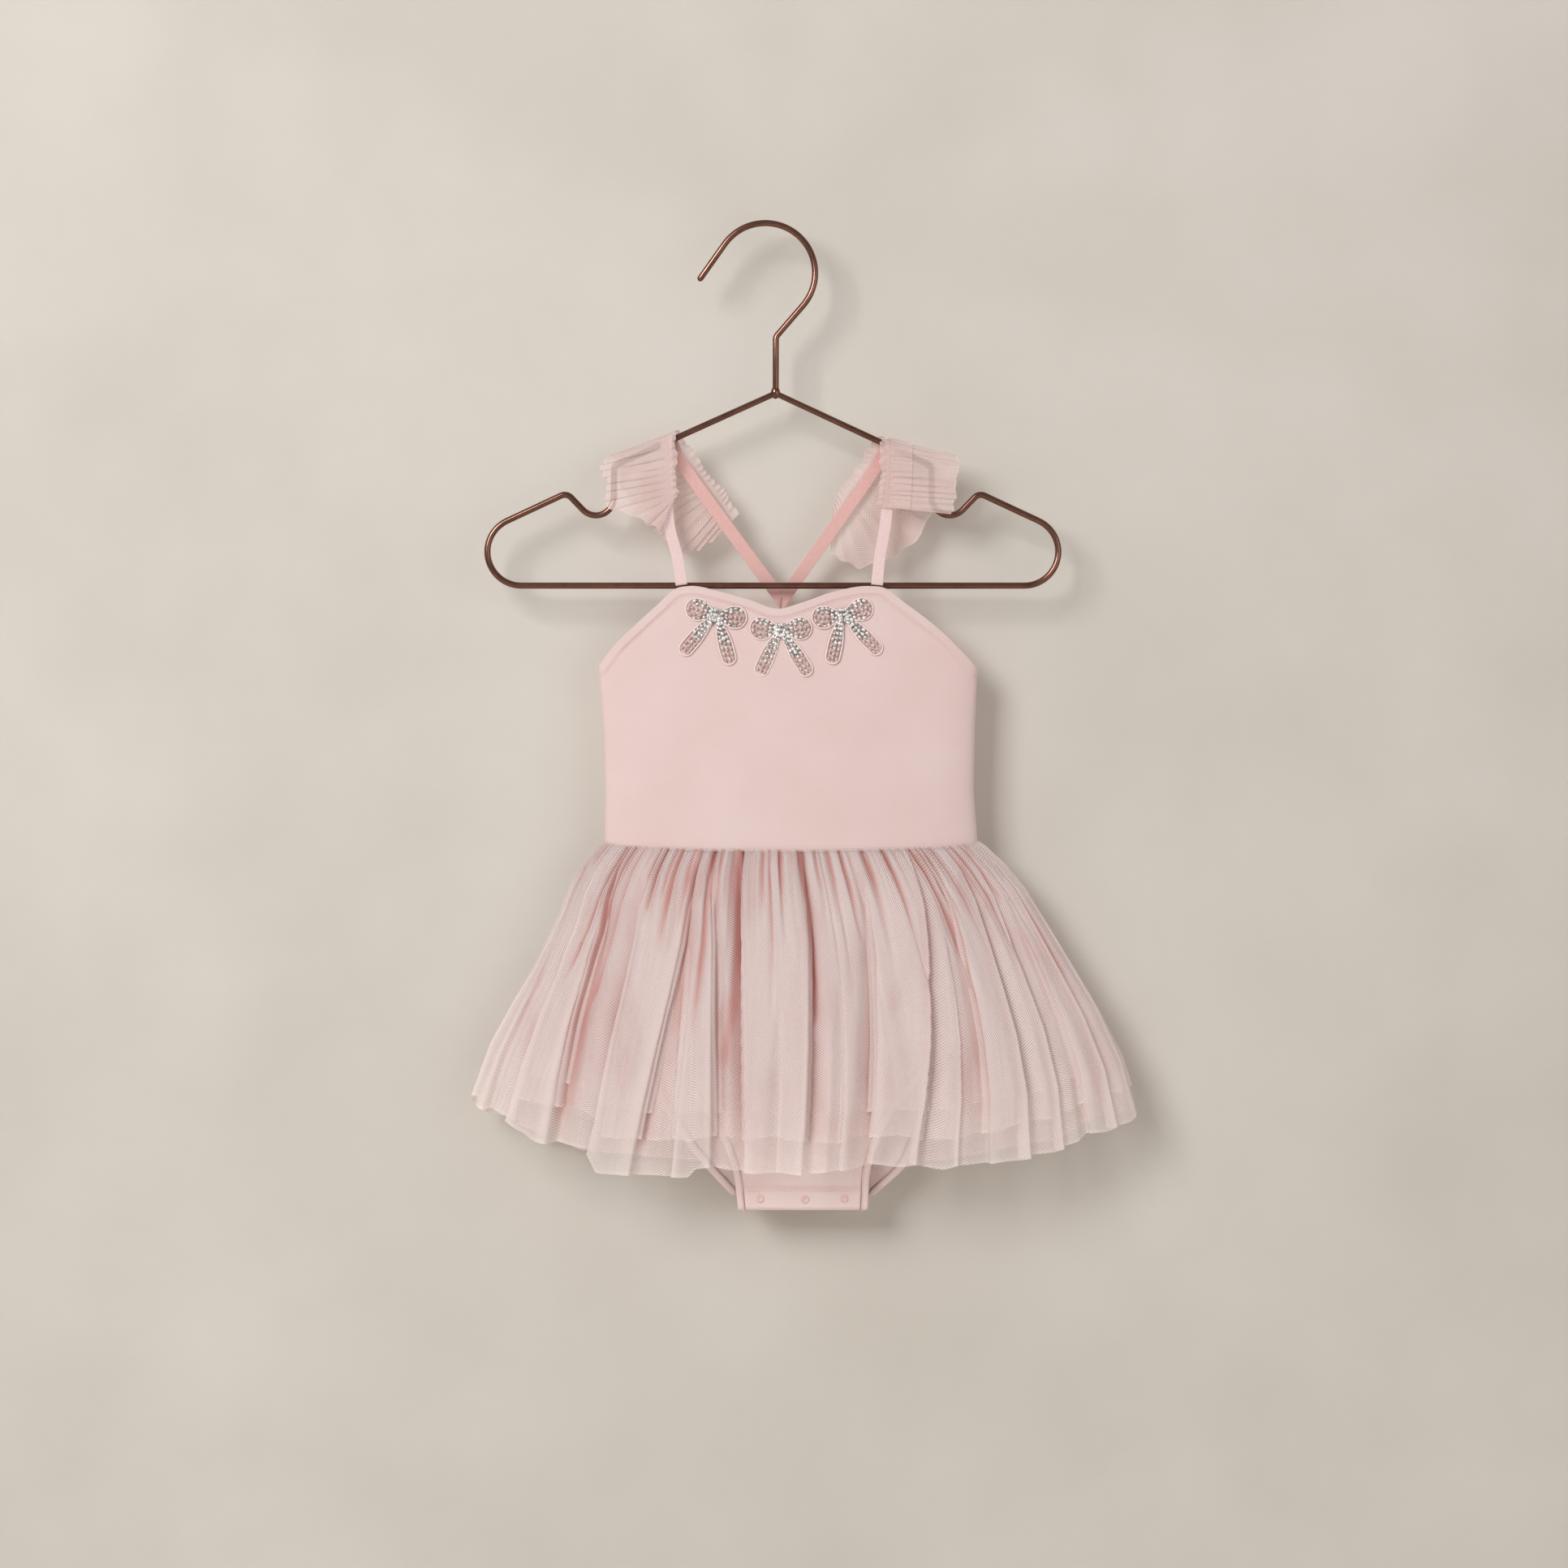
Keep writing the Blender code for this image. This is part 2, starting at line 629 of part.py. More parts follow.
def bow(name, x, z, tilt):
    """Beaded bow, a low solid of its reach that follows the panel it is sewn to."""
    outline = list(BOW_OUTLINE) + [(180 - angle, reach) for angle, reach in BOW_OUTLINE[-2:0:-1]]
    turned = [(math.radians(angle + tilt), reach) for angle, reach in outline]
    count = len(turned)
    points = []
    for out in (SEAM_GAP, SEAM_GAP + BOW_HEIGHT):
        points.append((x, panel_y(x, z) - out, z))
        for share in (0.5, 1.0):
            for angle, reach in turned:
                px = x + math.cos(angle) * reach * share
                pz = z + math.sin(angle) * reach * share
                points.append((px, panel_y(px, pz) - out, pz))
    layer = 2 * count + 1
    faces = []
    for index in range(count):
        after = (index + 1) % count
        for base in (0, layer):
            inner, outer = base + 1, base + 1 + count
            faces.append((base, inner + index, inner + after))
            faces.append((inner + index, outer + index, outer + after, inner + after))
        low, high = 1 + count, layer + 1 + count
        faces.append((low + index, low + after, high + after, high + index))
    return solid(name, points, faces, "beads")


def snap(name, x, z):
    """Round press stud cap on the front flap, its axis along Y."""
    flap = brief_point(1 if x > CROTCH_MIDDLE else -1, z, abs(x - CROTCH_MIDDLE), False, 0.0)
    sides = SNAP_SIDES
    points = []
    for y in (flap[1] - SEAM_GAP, flap[1] - SEAM_GAP - SNAP_HEIGHT):
        for turn in np.linspace(0, 2 * math.pi, sides, endpoint=False):
            points.append((x + SNAP_RADIUS * math.cos(turn), y, z + SNAP_RADIUS * math.sin(turn)))
    faces = [tuple(range(sides)), tuple(range(sides, 2 * sides))]
    for side in range(sides):
        after = (side + 1) % sides
        faces.append((side, after, after + sides, side + sides))
    return solid(name, points, faces, "snap")


for old in list(bpy.data.objects):
    bpy.data.objects.remove(old, do_unlink=True)

hanger()
bodice_panel("bodice_front", FRONT_TOP, back=False)
bodice_panel("bodice_back", BACK_TOP, back=True)
for layer, (layer_name, shorter) in enumerate(LAYERS):
    skirt_layer(layer_name, layer, shorter)
brief_panel("brief_front", LEG_FRONT, back=False)
brief_panel("brief_back", LEG_BACK, back=True)
leg_binding("leg_binding_left", -1)
leg_binding("leg_binding_right", 1)
for strap_name, strap_route in STRAPS.items():
    strap(strap_name, strap_route)
for ruffle_name, ruffle_rows in RUFFLES.items():
    ruffle(ruffle_name, ruffle_rows)
for bow_name, bow_x, bow_z, bow_tilt in BOWS:
    bow(bow_name, bow_x, bow_z, bow_tilt)
for number, (snap_x, snap_z) in enumerate(SNAPS, 1):
    snap(f"snap_{number}", snap_x, snap_z)
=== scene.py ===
import math

import bmesh
import bpy
import numpy as np
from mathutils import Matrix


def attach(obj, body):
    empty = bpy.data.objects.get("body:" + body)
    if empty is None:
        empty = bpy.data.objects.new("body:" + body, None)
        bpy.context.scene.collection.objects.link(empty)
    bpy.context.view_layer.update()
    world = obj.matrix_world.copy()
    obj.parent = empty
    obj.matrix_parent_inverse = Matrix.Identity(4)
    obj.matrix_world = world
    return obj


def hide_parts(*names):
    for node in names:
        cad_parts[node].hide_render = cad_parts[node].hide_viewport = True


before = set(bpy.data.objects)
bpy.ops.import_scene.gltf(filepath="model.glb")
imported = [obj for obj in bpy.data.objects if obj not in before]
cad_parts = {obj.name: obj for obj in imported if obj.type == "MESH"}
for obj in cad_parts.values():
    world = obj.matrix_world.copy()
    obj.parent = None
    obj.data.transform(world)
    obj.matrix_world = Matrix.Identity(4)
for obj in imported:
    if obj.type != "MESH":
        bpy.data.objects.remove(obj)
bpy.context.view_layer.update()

# Camera. It looks straight at the front of the hanging garment, level and from two metres away, so that the
# hook, the skirt and the wall beside them fill a square view. Sizes in this file are millimetres.
MM = 0.001
VIEW_WIDTH = 830.8
VIEW_MIDDLE = (9.9, -295.5)
LENS = 85.0
SENSOR = 36.0

camera_data = bpy.data.cameras.new("camera")
camera_data.lens = LENS
camera_data.sensor_width = SENSOR
camera_data.clip_start = 0.05
camera = bpy.data.objects.new("camera", camera_data)
camera.location = (VIEW_MIDDLE[0] * MM, -VIEW_WIDTH * LENS / SENSOR * MM, VIEW_MIDDLE[1] * MM)
camera.rotation_euler = (math.pi / 2, 0.0, 0.0)
bpy.context.scene.collection.objects.link(camera)
bpy.context.scene.camera = camera


# Hanger. One length of 3.4 mm steel wire is bent to the notched frame and welded at its neck to a second
# length that makes the shank and the hook. Both are polished and plated rose gold.
WIRE_RADIUS = 1.7
WIRE_SIDES = 24
HOOK_RADIUS = 26.4
HOOK_ARC = (146.0, -40.0)
HOOK_LIP = (-34.4, -27.6)
HOOK_BEND = (5.6, -58.6)
NECK = (5.4, -88.5)
HANGER_MIDDLE = 4.0
BAR_Z = -190.4
# Left half of the frame from the neck to the bar: x, z and radius of each bend.
FRAME_BENDS = (
    (-80.0, -126.9, 3.4),
    (-80.6, -166.9, 9.5),
    (-105.2, -141.3, 4.7),
    (-210.3, -190.4, 18.0),
)
BEND_STEP = math.radians(6)
WELD = (2.5, 2.2, 3.4)  # half sizes of the weld's bead


class Field:
    """A shader socket on which Python's operators add Math nodes."""

    def __init__(self, finish, socket):
        self.finish = finish
        self.socket = socket

    def math(self, operation, *values):
        node = self.finish.node("ShaderNodeMath", {"operation": operation}, dict(enumerate(values)))
        return Field(self.finish, node.outputs[0])

    def __add__(self, other):
        return self.math("ADD", self, other)

    def __sub__(self, other):
        return self.math("SUBTRACT", self, other)

    def __mul__(self, other):
        return self.math("MULTIPLY", self, other)

    def __rsub__(self, other):
        return self.math("SUBTRACT", other, self)

    __radd__ = __add__
    __rmul__ = __mul__

    def sine(self):
        return self.math("SINE", self)

    def size(self):
        return self.math("ABSOLUTE", self)

    def between(self, low, high):
        """0 below low, 1 above high and a smooth rise between them."""
        node = self.finish.node("ShaderNodeMapRange", {"interpolation_type": "SMOOTHSTEP"},
                                {"Value": self, "From Min": low, "From Max": high})
        return Field(self.finish, node.outputs["Result"])


class Finish:
    """A material built round one Principled shader, whose constants are set on its own sockets."""

    def __init__(self, name, **constants):
        self.material = bpy.data.materials.new(name)
        self.material.use_nodes = True
        self.nodes = self.material.node_tree.nodes
        self.links = self.material.node_tree.links
        self.shader = self.nodes["Principled BSDF"]
        for socket, value in constants.items():
            self.shader.inputs[socket.replace("_", " ")].default_value = value

    def node(self, kind, settings, sockets):
        """Any node: its type, its settings, and the values or links of its sockets by name or number."""
        made = self.nodes.new(kind)
        for setting, value in settings.items():
            setattr(made, setting, value)
        for socket, value in sockets.items():
            self.feed(made.inputs[socket], value)
        return made

    def feed(self, socket, value):
        if isinstance(value, Field):
            value = value.socket
        if isinstance(value, bpy.types.NodeSocket):
            self.links.new(value, socket)
        else:
            socket.default_value = value

    def place(self, axis):
        """One coordinate of the piece, in millimetres."""
        where = self.node("ShaderNodeTexCoord", {}, {})
        parts = self.node("ShaderNodeSeparateXYZ", {}, {0: where.outputs["Object"]})
        return Field(self, parts.outputs[axis]) * 1000.0

    def along(self, axis):
        """One coordinate of the piece's UV map, which is in millimetres of flat cloth."""
        where = self.node("ShaderNodeTexCoord", {}, {})
        parts = self.node("ShaderNodeSeparateXYZ", {}, {0: where.outputs["UV"]})
        return Field(self, parts.outputs[axis])

    def marked(self, name):
        """A number that the mesh carries at each point."""
        return Field(self, self.node("ShaderNodeAttribute", {"attribute_name": name}, {}).outputs["Fac"])

    def noise(self, size, detail=2.0, stretch=(1.0, 1.0, 1.0)):
        """Noise with blotches of about one size in millimetres, longer along an axis by its stretch."""
        where = self.node("ShaderNodeTexCoord", {}, {})
        scale = [1.0 / (size * MM * factor) for factor in stretch]
        moved = self.node("ShaderNodeMapping", {}, {0: where.outputs["Object"], "Scale": scale})
        made = self.node("ShaderNodeTexNoise", {},
                         {"Vector": moved.outputs[0], "Scale": 1.0, "Detail": detail})
        return Field(self, made.outputs["Fac"])

    def blend(self, amount, first, second):
        """Colour that goes from the first to the second as amount goes from 0 to 1."""
        sockets = {"Factor": amount, 6: first, 7: second}
        for socket in (6, 7):
            if not isinstance(sockets[socket], bpy.types.NodeSocket):
                sockets[socket] = (*sockets[socket], 1.0)
        return self.node("ShaderNodeMix", {"data_type": "RGBA"}, sockets).outputs[2]

    def paint(self, amount, shade, colour, roughness):
        """Base colour, from the shade to the colour as amount goes from 0 to 1, and the roughness."""
        self.feed(self.shader.inputs["Base Color"], self.blend(amount, linear(*shade), linear(*colour)))
        self.feed(self.shader.inputs["Roughness"], roughness)

    def relief(self, height, depth):
        """Bump from a height that runs from 0 to 1, in millimetres from its bottom to its top."""
        made = self.node("ShaderNodeBump", {}, {"Height": height, "Distance": depth * MM, "Strength": 1.0})
        self.feed(self.shader.inputs["Normal"], made.outputs[0])


def linear(red, green, blue):
    """A colour as seen on screen, 0 to 255, as the light values that shaders take."""
    return tuple(((c / 255 + 0.055) / 1.055) ** 2.4 for c in (red, green, blue))


def mesh_piece(name, points, faces, material, smooth=True):
    """Object at the origin from points in millimetres, with one finish."""
    mesh = bpy.data.meshes.new(name)
    mesh.from_pydata((np.asarray(points, float) * MM).tolist(), [], faces)
    mesh.materials.append(material)
    mesh.polygons.foreach_set("use_smooth", [smooth] * len(mesh.polygons))
    mesh.update()
    made = bpy.data.objects.new(name, mesh)
    bpy.context.scene.collection.objects.link(made)
    return made


def fit(piece, slot, *nodes):
    """Ties a finished piece to the root body and hides the nodes that it stands for; the slot is not used."""
    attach(piece, "root")
    if nodes:
        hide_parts(*nodes)


def rounded(corners):
    """A line through corners, each given with its bend radius, with the bends as arcs."""
    line = [np.array(corners[0][:2], float)]
    for before, corner, after in zip(corners, corners[1:], corners[2:]):
        here = np.array(corner[:2], float)
        back = np.array(before[:2], float) - here
        ahead = np.array(after[:2], float) - here
        back /= np.linalg.norm(back)
        ahead /= np.linalg.norm(ahead)
        half = math.acos(float(np.clip(back @ ahead, -1, 1))) / 2
        centre = here + (back + ahead) / np.linalg.norm(back + ahead) * corner[2] / math.sin(half)
        a = here + back * corner[2] / math.tan(half) - centre
        b = here + ahead * corner[2] / math.tan(half) - centre
        turn = math.atan2(a[0] * b[1] - a[1] * b[0], a @ b)
        steps = max(3, round(abs(turn) / BEND_STEP))
        for angle in np.linspace(0, turn, steps + 1):
            spin = np.array([[math.cos(angle), -math.sin(angle)], [math.sin(angle), math.cos(angle)]])
            line.append(centre + spin @ a)
    line.append(np.array(corners[-1][:2], float))
    return line


def wire_mesh(path, closed):
    """Points and faces of round wire along a line in the hanger's plane; an open wire has domed ends."""
    path = np.asarray(path, float)
    if closed:
        along = np.roll(path, -1, axis=0) - np.roll(path, 1, axis=0)
    else:
        along = np.gradient(path, axis=0)
    along /= np.linalg.norm(along, axis=1, keepdims=True)
    rings = [(point, run, WIRE_RADIUS) for point, run in zip(path, along)]
    if not closed:
        dome = [(math.sin(a) * WIRE_RADIUS, math.cos(a) * WIRE_RADIUS) for a in np.radians((30, 60, 80))]
        rings = [(path[0] - along[0] * out, along[0], r) for out, r in dome[::-1]] + rings
        rings += [(path[-1] + along[-1] * out, along[-1], r) for out, r in dome]
    points = []
    for (x, z), run, radius in rings:
        for turn in np.linspace(0, 2 * math.pi, WIRE_SIDES, endpoint=False):
            across = radius * math.cos(turn)
            points.append((x - run[1] * across, radius * math.sin(turn), z + run[0] * across))
    faces = []
    count = len(rings)
    for ring in range(count if closed else count - 1):
        for side in range(WIRE_SIDES):
            after = (side + 1) % WIRE_SIDES
            low, high = ring * WIRE_SIDES, (ring + 1) % count * WIRE_SIDES
            faces.append((low + side, high + side, high + after, low + after))
    if not closed:
        faces.append(tuple(range(WIRE_SIDES)))
        faces.append(tuple(range(len(points) - WIRE_SIDES, len(points)))[::-1])
    return points, faces


def face_outwards(piece):
    """Turns every face of a closed piece outwards."""
    body = bmesh.new()
    body.from_mesh(piece.data)
    bmesh.ops.recalc_face_normals(body, faces=body.faces)
    body.to_mesh(piece.data)
    body.free()


rose_gold = Finish("rose_gold", Metallic=1.0, Coat_Weight=0.15, Coat_Roughness=0.1)
rubbed = rose_gold.noise(1.2, 4.0)
rose_gold.paint(rose_gold.noise(9.0, 3.0), (100, 67, 56), (148, 106, 90), 0.16 + rubbed * 0.14)
rose_gold.relief(rose_gold.noise(0.5, 3.0), 0.01)

hook_centre = np.array([0.0, WIRE_RADIUS - HOOK_RADIUS])
hook_line = []
for hook_angle in np.radians(np.linspace(*HOOK_ARC, 48)):
    hook_line.append(hook_centre + HOOK_RADIUS * np.array([math.cos(hook_angle), math.sin(hook_angle)]))
shank_line = rounded([(*hook_line[-1], 0), (*HOOK_BEND, 4.0), (NECK[0] + 0.1, NECK[1], 0)])
hook_line = [np.array(HOOK_LIP), *hook_line, *shank_line[1:]]
hook = mesh_piece("hook", *wire_mesh(hook_line, closed=False), rose_gold.material)
face_outwards(hook)
fit(hook, "wire", "hanger_hook")

half_frame = rounded([(HANGER_MIDDLE, BAR_Z, 0), *FRAME_BENDS[::-1], (*NECK, 0)])
other_half = [np.array([2 * HANGER_MIDDLE - x, z]) for x, z in half_frame[1:-1]]
frame_line = [*half_frame, *other_half[::-1]]
wire_frame = mesh_piece("hanger_frame", *wire_mesh(frame_line, closed=True), rose_gold.material)
face_outwards(wire_frame)
fit(wire_frame, "wire", "hanger_arm_left", "hanger_arm_right", "hanger_bar")

weld_mesh = bpy.data.meshes.new("weld")
weld_ball = bmesh.new()
bmesh.ops.create_uvsphere(weld_ball, u_segments=24, v_segments=16, radius=1.0)
for corner in weld_ball.verts:
    corner.co = [(half * c + at) * MM for half, c, at in zip(WELD, corner.co, (NECK[0], 0.0, NECK[1] + 0.4))]
weld_ball.to_mesh(weld_mesh)
weld_ball.free()
weld_mesh.polygons.foreach_set("use_smooth", [True] * len(weld_mesh.polygons))
weld_mesh.materials.append(rose_gold.material)
weld = bpy.data.objects.new("weld", weld_mesh)
bpy.context.scene.collection.objects.link(weld)
fit(weld, "wire")


# Bodice. Two panels of stretch jersey, cut to a sweetheart neckline in front and to a V behind, are sewn
# at the sides. The top edge is turned over narrow elastic and topstitched 5 mm in.
KNIT = (230, 209, 206)
KNIT_SHADE = (222, 194, 190)
PANEL = 0.7  # thickness of the jersey
SEAM_GAP = 0.3  # between two pieces that are sewn together
CASING = 5.2  # width of the turned top edge
CASING_RISE = 0.55
CASING_ROWS = 15
PANEL_ROWS = 60
PANEL_COLUMNS = 171
WAIST_SIDE_Z = -327.0
WAIST_DIP = 4.4
OVAL_POWER = 0.8
# Height, left and right side, depth of the front and of the back.
BODICE = (
    (-188.0, -88.3, 112.4, 7.0, 6.0),
    (-234.0, -88.3, 112.4, 9.0, 8.0),
    (-262.0, -86.0, 111.0, 11.0, 9.5),
    (-298.5, -84.7, 110.2, 12.5, 10.5),
    (-327.0, -85.1, 112.4, 13.0, 11.0),
    (-333.0, -85.1, 112.4, 13.0, 11.0),
)
# Top edges from the left underarm to the right one: x, z.
FRONT_TOP = (
    (-88.3, -233.0),
    (-80.5, -223.0),
    (-68.8, -211.6),
    (-57.0, -200.8),
    (-47.3, -192.3),
    (-40.9, -191.0),
    (-23.2, -194.0),
    (-8.2, -198.3),
    (7.3, -203.0),
    (18.5, -200.0),
    (36.1, -194.0),
    (55.5, -191.0),
    (62.8, -191.9),
    (73.1, -199.2),
    (94.0, -215.5),
    (112.4, -234.0),
)
BACK_TOP = (
    (-88.3, -234.0),
    (-62.0, -225.5),
    (-28.0, -214.5),
    (3.0, -203.8),
    (15.5, -203.8),
    (48.0, -214.0),
    (84.0, -225.5),
    (112.4, -234.0),
)


def section(table, at):
    """The sizes in a table's other columns at one height or share, read between its rows."""
    table = np.asarray(sorted(table), float)
    return [float(np.interp(at, table[:, 0], column)) for column in table[:, 1:].T]


def side_sizes(table, at):
    """Middle, half width and depths from a table that gives the left and right sides."""
    left, right, front, back = section(table, at)
    return (left + right) / 2, (right - left) / 2, front, back


def oval(middle, half, front, back, angle, inset=0.0):
    """x and y on a flat oval round the body: 0 degrees is the left side seam, 90 the centre front."""
    turn = math.radians(angle)
    depth = inset - front if math.sin(turn) > 0 else back - inset
    return middle - (half - inset) * math.cos(turn), depth * abs(math.sin(turn)) ** OVAL_POWER


def waist_z(angle):
    return WAIST_SIDE_Z - WAIST_DIP * abs(math.sin(math.radians(angle)))


def eased(table, count=400):
    """A smooth line through a table's points, as arrays of x and z."""
    points = np.asarray(table, float)
    lean = np.gradient(points[:, 1], points[:, 0])
    xs = np.linspace(points[0, 0], points[-1, 0], count)
    zs = np.empty(count)
    for index, x in enumerate(xs):
        left = min(max(np.searchsorted(points[:, 0], x) - 1, 0), len(points) - 2)
        (x0, z0), (x1, z1) = points[left], points[left + 1]
        t, width = (x - x0) / (x1 - x0), x1 - x0
        zs[index] = (
            z0 * (1 + 2 * t) * (1 - t) ** 2 + z1 * t * t * (3 - 2 * t)
            + lean[left] * width * t * (1 - t) ** 2 + lean[left + 1] * width * t * t * (t - 1)
        )
    return xs, zs


def grid_faces(rows, columns, ring=False):
    """Faces of a grid of points, wound so that they face the viewer when rows rise and columns run right."""
    faces = []
    for row in range(rows - 1):
        for column in range(columns if ring else columns - 1):
            after = (column + 1) % columns
            low, high = row * columns, (row + 1) * columns
            faces.append((low + column, low + after, high + after, high + column))
    return faces


def flat_map(piece, us, vs):
    """UV map in millimetres of flat cloth, from a value at each point."""
    layer = piece.data.uv_layers.new(name="flat")
    corners = np.empty(len(piece.data.loops), int)
    piece.data.loops.foreach_get("vertex_index", corners)
    pairs = np.stack([np.asarray(us)[corners], np.asarray(vs)[corners]], axis=1)
    layer.data.foreach_set("uv", pairs.ravel())


def mark(piece, name, values):
    """Stores a number at each point for a material to read."""
    piece.data.attributes.new(name, "FLOAT", "POINT").data.foreach_set("value", np.asarray(values, float))


def thicken(piece, thickness, inwards=True):
    """Gives a sheet its wall, closed at its edges."""
    shell = piece.modifiers.new("wall", "SOLIDIFY")
    shell.thickness = thickness * MM
    shell.offset = -1.0 if inwards else 0.0
    shell.use_even_offset = False


def jersey(name, colour, shade):
    """Fine stretch jersey: 0.6 mm ribs along the height, loops across them, a faint blotch, painted shade in
    grooves.
    """
    made = Finish(name, Sheen_Weight=0.25, Sheen_Roughness=0.4, Specular_IOR_Level=0.25)
    ribs = (made.place("X") * (2 * math.pi / 0.6)).sine().size()
    loops = (made.place("Z") * (2 * math.pi / 0.5) + ribs * 1.6).sine() * 0.5 + 0.5
    cloud = made.noise(38.0, 3.0)
    # Painted shade: the marked number darkens the cloth in its stitched grooves and along the seams where
    # pieces meet.
    tone = (cloud * 0.7 + loops * ribs * 0.3 - made.marked("seam")).between(0.0, 1.0)
    made.paint(tone, shade, colour, 0.86 - ribs * 0.08)
    made.relief(ribs * 0.6 + loops * 0.4, 0.05)
    return made.material


def bodice_panel(name, table, back):
    """Front or back shell with its turned top edge standing a little proud of the panel."""
    edge_x, edge_z = eased(table)
    middle, half, _, _ = side_sizes(BODICE, -188.0)
    hem = CASING + 1.2
    downs = np.concatenate([np.linspace(0, hem, CASING_ROWS), np.linspace(0, 1, PANEL_ROWS)[1:] + 10])
    spread = np.linspace(0, 1, PANEL_COLUMNS)
    angles = 180 * (spread + np.sin(2 * math.pi * spread) * 0.05)
    points, groove_shades = [], []
    for angle in angles:
        top_x = middle - half * math.cos(math.radians(angle))
        top = float(np.interp(top_x, edge_x, edge_z))
        bottom = waist_z(angle)
        for down in downs:
            rest = top - hem
            z = top - down if down < 10 else rest + (bottom - rest) * (down - 10)
            x, y = oval(*side_sizes(BODICE, z), -angle if back else angle)
            away = np.min(np.hypot(edge_x - x, edge_z - z)) if z > -250 else 99.0
            rise = CASING_RISE * float(np.clip((CASING - away) / 0.7 + 0.5, 0, 1))
            groove = 0.55 * math.exp(-((away - CASING + 0.5) / 0.4) ** 2)
            soft = 0.35 * math.sin(x / 17.0 + 1.3) * math.sin(z / 23.0) + 0.25 * math.sin(x / 9.0 - z / 31.0)
            seam = 1.3 * math.exp(-((z - bottom) / 1.6) ** 2)
            side = abs(math.sin(math.radians(angle))) ** 0.5
            out = (rise - groove - seam * 0.6 + soft * min(1.0, away / 12) * side) * (1 if back else -1)
            points.append((x, y + out * side + SEAM_GAP / 2 * (1 if back else -1), z))
            # Painted shade: the cloth is darkened in the groove of the topstitching and along the waist seam
            # at the bottom.
            stitch_groove_shade = math.exp(-((away - CASING + 0.4) / 0.7) ** 2)
            groove_shades.append(stitch_groove_shade + 0.6 * math.exp(-((z - bottom) / 1.2) ** 2))
    faces = grid_faces(len(angles), len(downs))
    if back:
        faces = [face[::-1] for face in faces]
    made = mesh_piece(name + "_jersey", points, faces, bodice_knit)
    mark(made, "seam", groove_shades)
    thicken(made, PANEL)
    fit(made, "knit", name)
    return made


bodice_knit = jersey("bodice_jersey", KNIT, KNIT_SHADE)
bodice_front = bodice_panel("bodice_front", FRONT_TOP, back=False)
bodice_back = bodice_panel("bodice_back", BACK_TOP, back=True)


# Skirt. Three layers of soft net, each a straight band twice as long as the waist, are gathered together into
# the waist seam and left with raw hems. The under layers are shorter, so the net is clearest near the hem.
TULLE = (249, 233, 230)
# Pinker colour that the painted shade in the folds and the random blotches blend towards.
TULLE_SHADE = (214, 154, 146)
NET_PITCH = 1.3
HEM_FRONT_Z = -499.0
HEM_SIDE_RISE = 34.0
HEM_POWER = 3.0
SKIRT_CUT = 820.0
PITCH_WAIST = 2.0
PITCH_HEM = 3.4
SKIRT_COLUMNS = 1080
SKIRT_ROWS = 76
OVERLAP = 0.75  # how far a fold's bottom slips under its lip, in fold widths
# Share of the length, left and right side, depth of the front and of the back.
SKIRT = (
    (0.0, -85.6, 112.9, 13.6, 11.4),
    (0.02, -88.6, 117.0, 15.4, 12.8),
    (0.05, -92.5, 121.5, 16.8, 14.0),
    (0.09, -97.0, 127.5, 18.5, 15.0),
    (0.18, -104.0, 138.0, 21.5, 16.8),
    (0.3, -110.5, 148.5, 25.0, 18.5),
    (0.45, -121.0, 161.5, 29.5, 19.8),
    (0.62, -134.0, 176.5, 34.0, 21.0),
    (0.8, -146.0, 189.0, 38.0, 22.0),
    (1.0, -156.0, 197.0, 42.0, 23.0),
)
# Folds from the left side over the front and back: angle of the lip at the hem, how far the lip swings from
# there to the waist, width of the fold's open side, depth at the hem, side that the lip hangs over (1 is
# clockwise) and the share of the length where the fold starts.
FOLDS = (
    (7, 2, 7.0, 3, 1, 0.1),
    (17, -4, 6.0, 4, -1, 0.2),
    (27, -6, 8.0, 5, 1, 0.0),
    (40.0, -11.5, 9.0, 10, -1, 0.0),
    (50, -4, 6.0, 5, 1, 0.1),
    (58.5, 2.5, 9.0, 8, -1, 0.0),
    (66.5, -4, 4.0, 4, 1, 0.3),
    (73.8, -8, 4.5, 8, -1, 0.0),
    (79.8, -6, 4.0, 9, 1, 0.0),
    (85.2, 0, 2.6, 3, 1, 0.5),
    (89.6, 3, 4.4, 9, -1, 0.0),
    (96.0, 5, 3.0, 4, 1, 0.4),
    (101.5, 9, 5.0, 9, 1, 0.1),
    (109.7, 17, 5.0, 10, -1, 0.0),
    (117, 13, 4.0, 4, -1, 0.3),
    (123, 12, 6.0, 6, 1, 0.0),
    (131.5, 12, 6.5, 8, -1, 0.0),
    (141, 11, 6.5, 6, -1, 0.05),
    (150, 8, 6.0, 4, 1, 0.2),
    (159, 4, 8.0, 6, -1, 0.0),
    (171, 1, 7.0, 2.5, -1, 0.1),
    (186, 0, 8, 2.5, 1, 0.0),
    (197, 0, 8, 5, -1, 0.1),
    (209, 0, 9, 7, 1, 0.0),
    (221, 0, 7, 4, -1, 0.25),
    (232, 0, 8, 8, 1, 0.0),
    (244, 0, 8, 5, -1, 0.05),
    (255, 0, 6, 4, 1, 0.3),
    (266, 0, 8, 8, -1, 0.0),
    (277, 0, 6, 4, 1, 0.2),
    (288, 0, 8, 8, 1, 0.0),
    (300, 0, 9, 5, -1, 0.08),
    (312, 0, 8, 8, 1, 0.0),
    (324, 0, 9, 5, -1, 0.2),
    (336, 0, 8, 6, 1, 0.0),
    (348, 0, 8, 4, -1, 0.05),
)
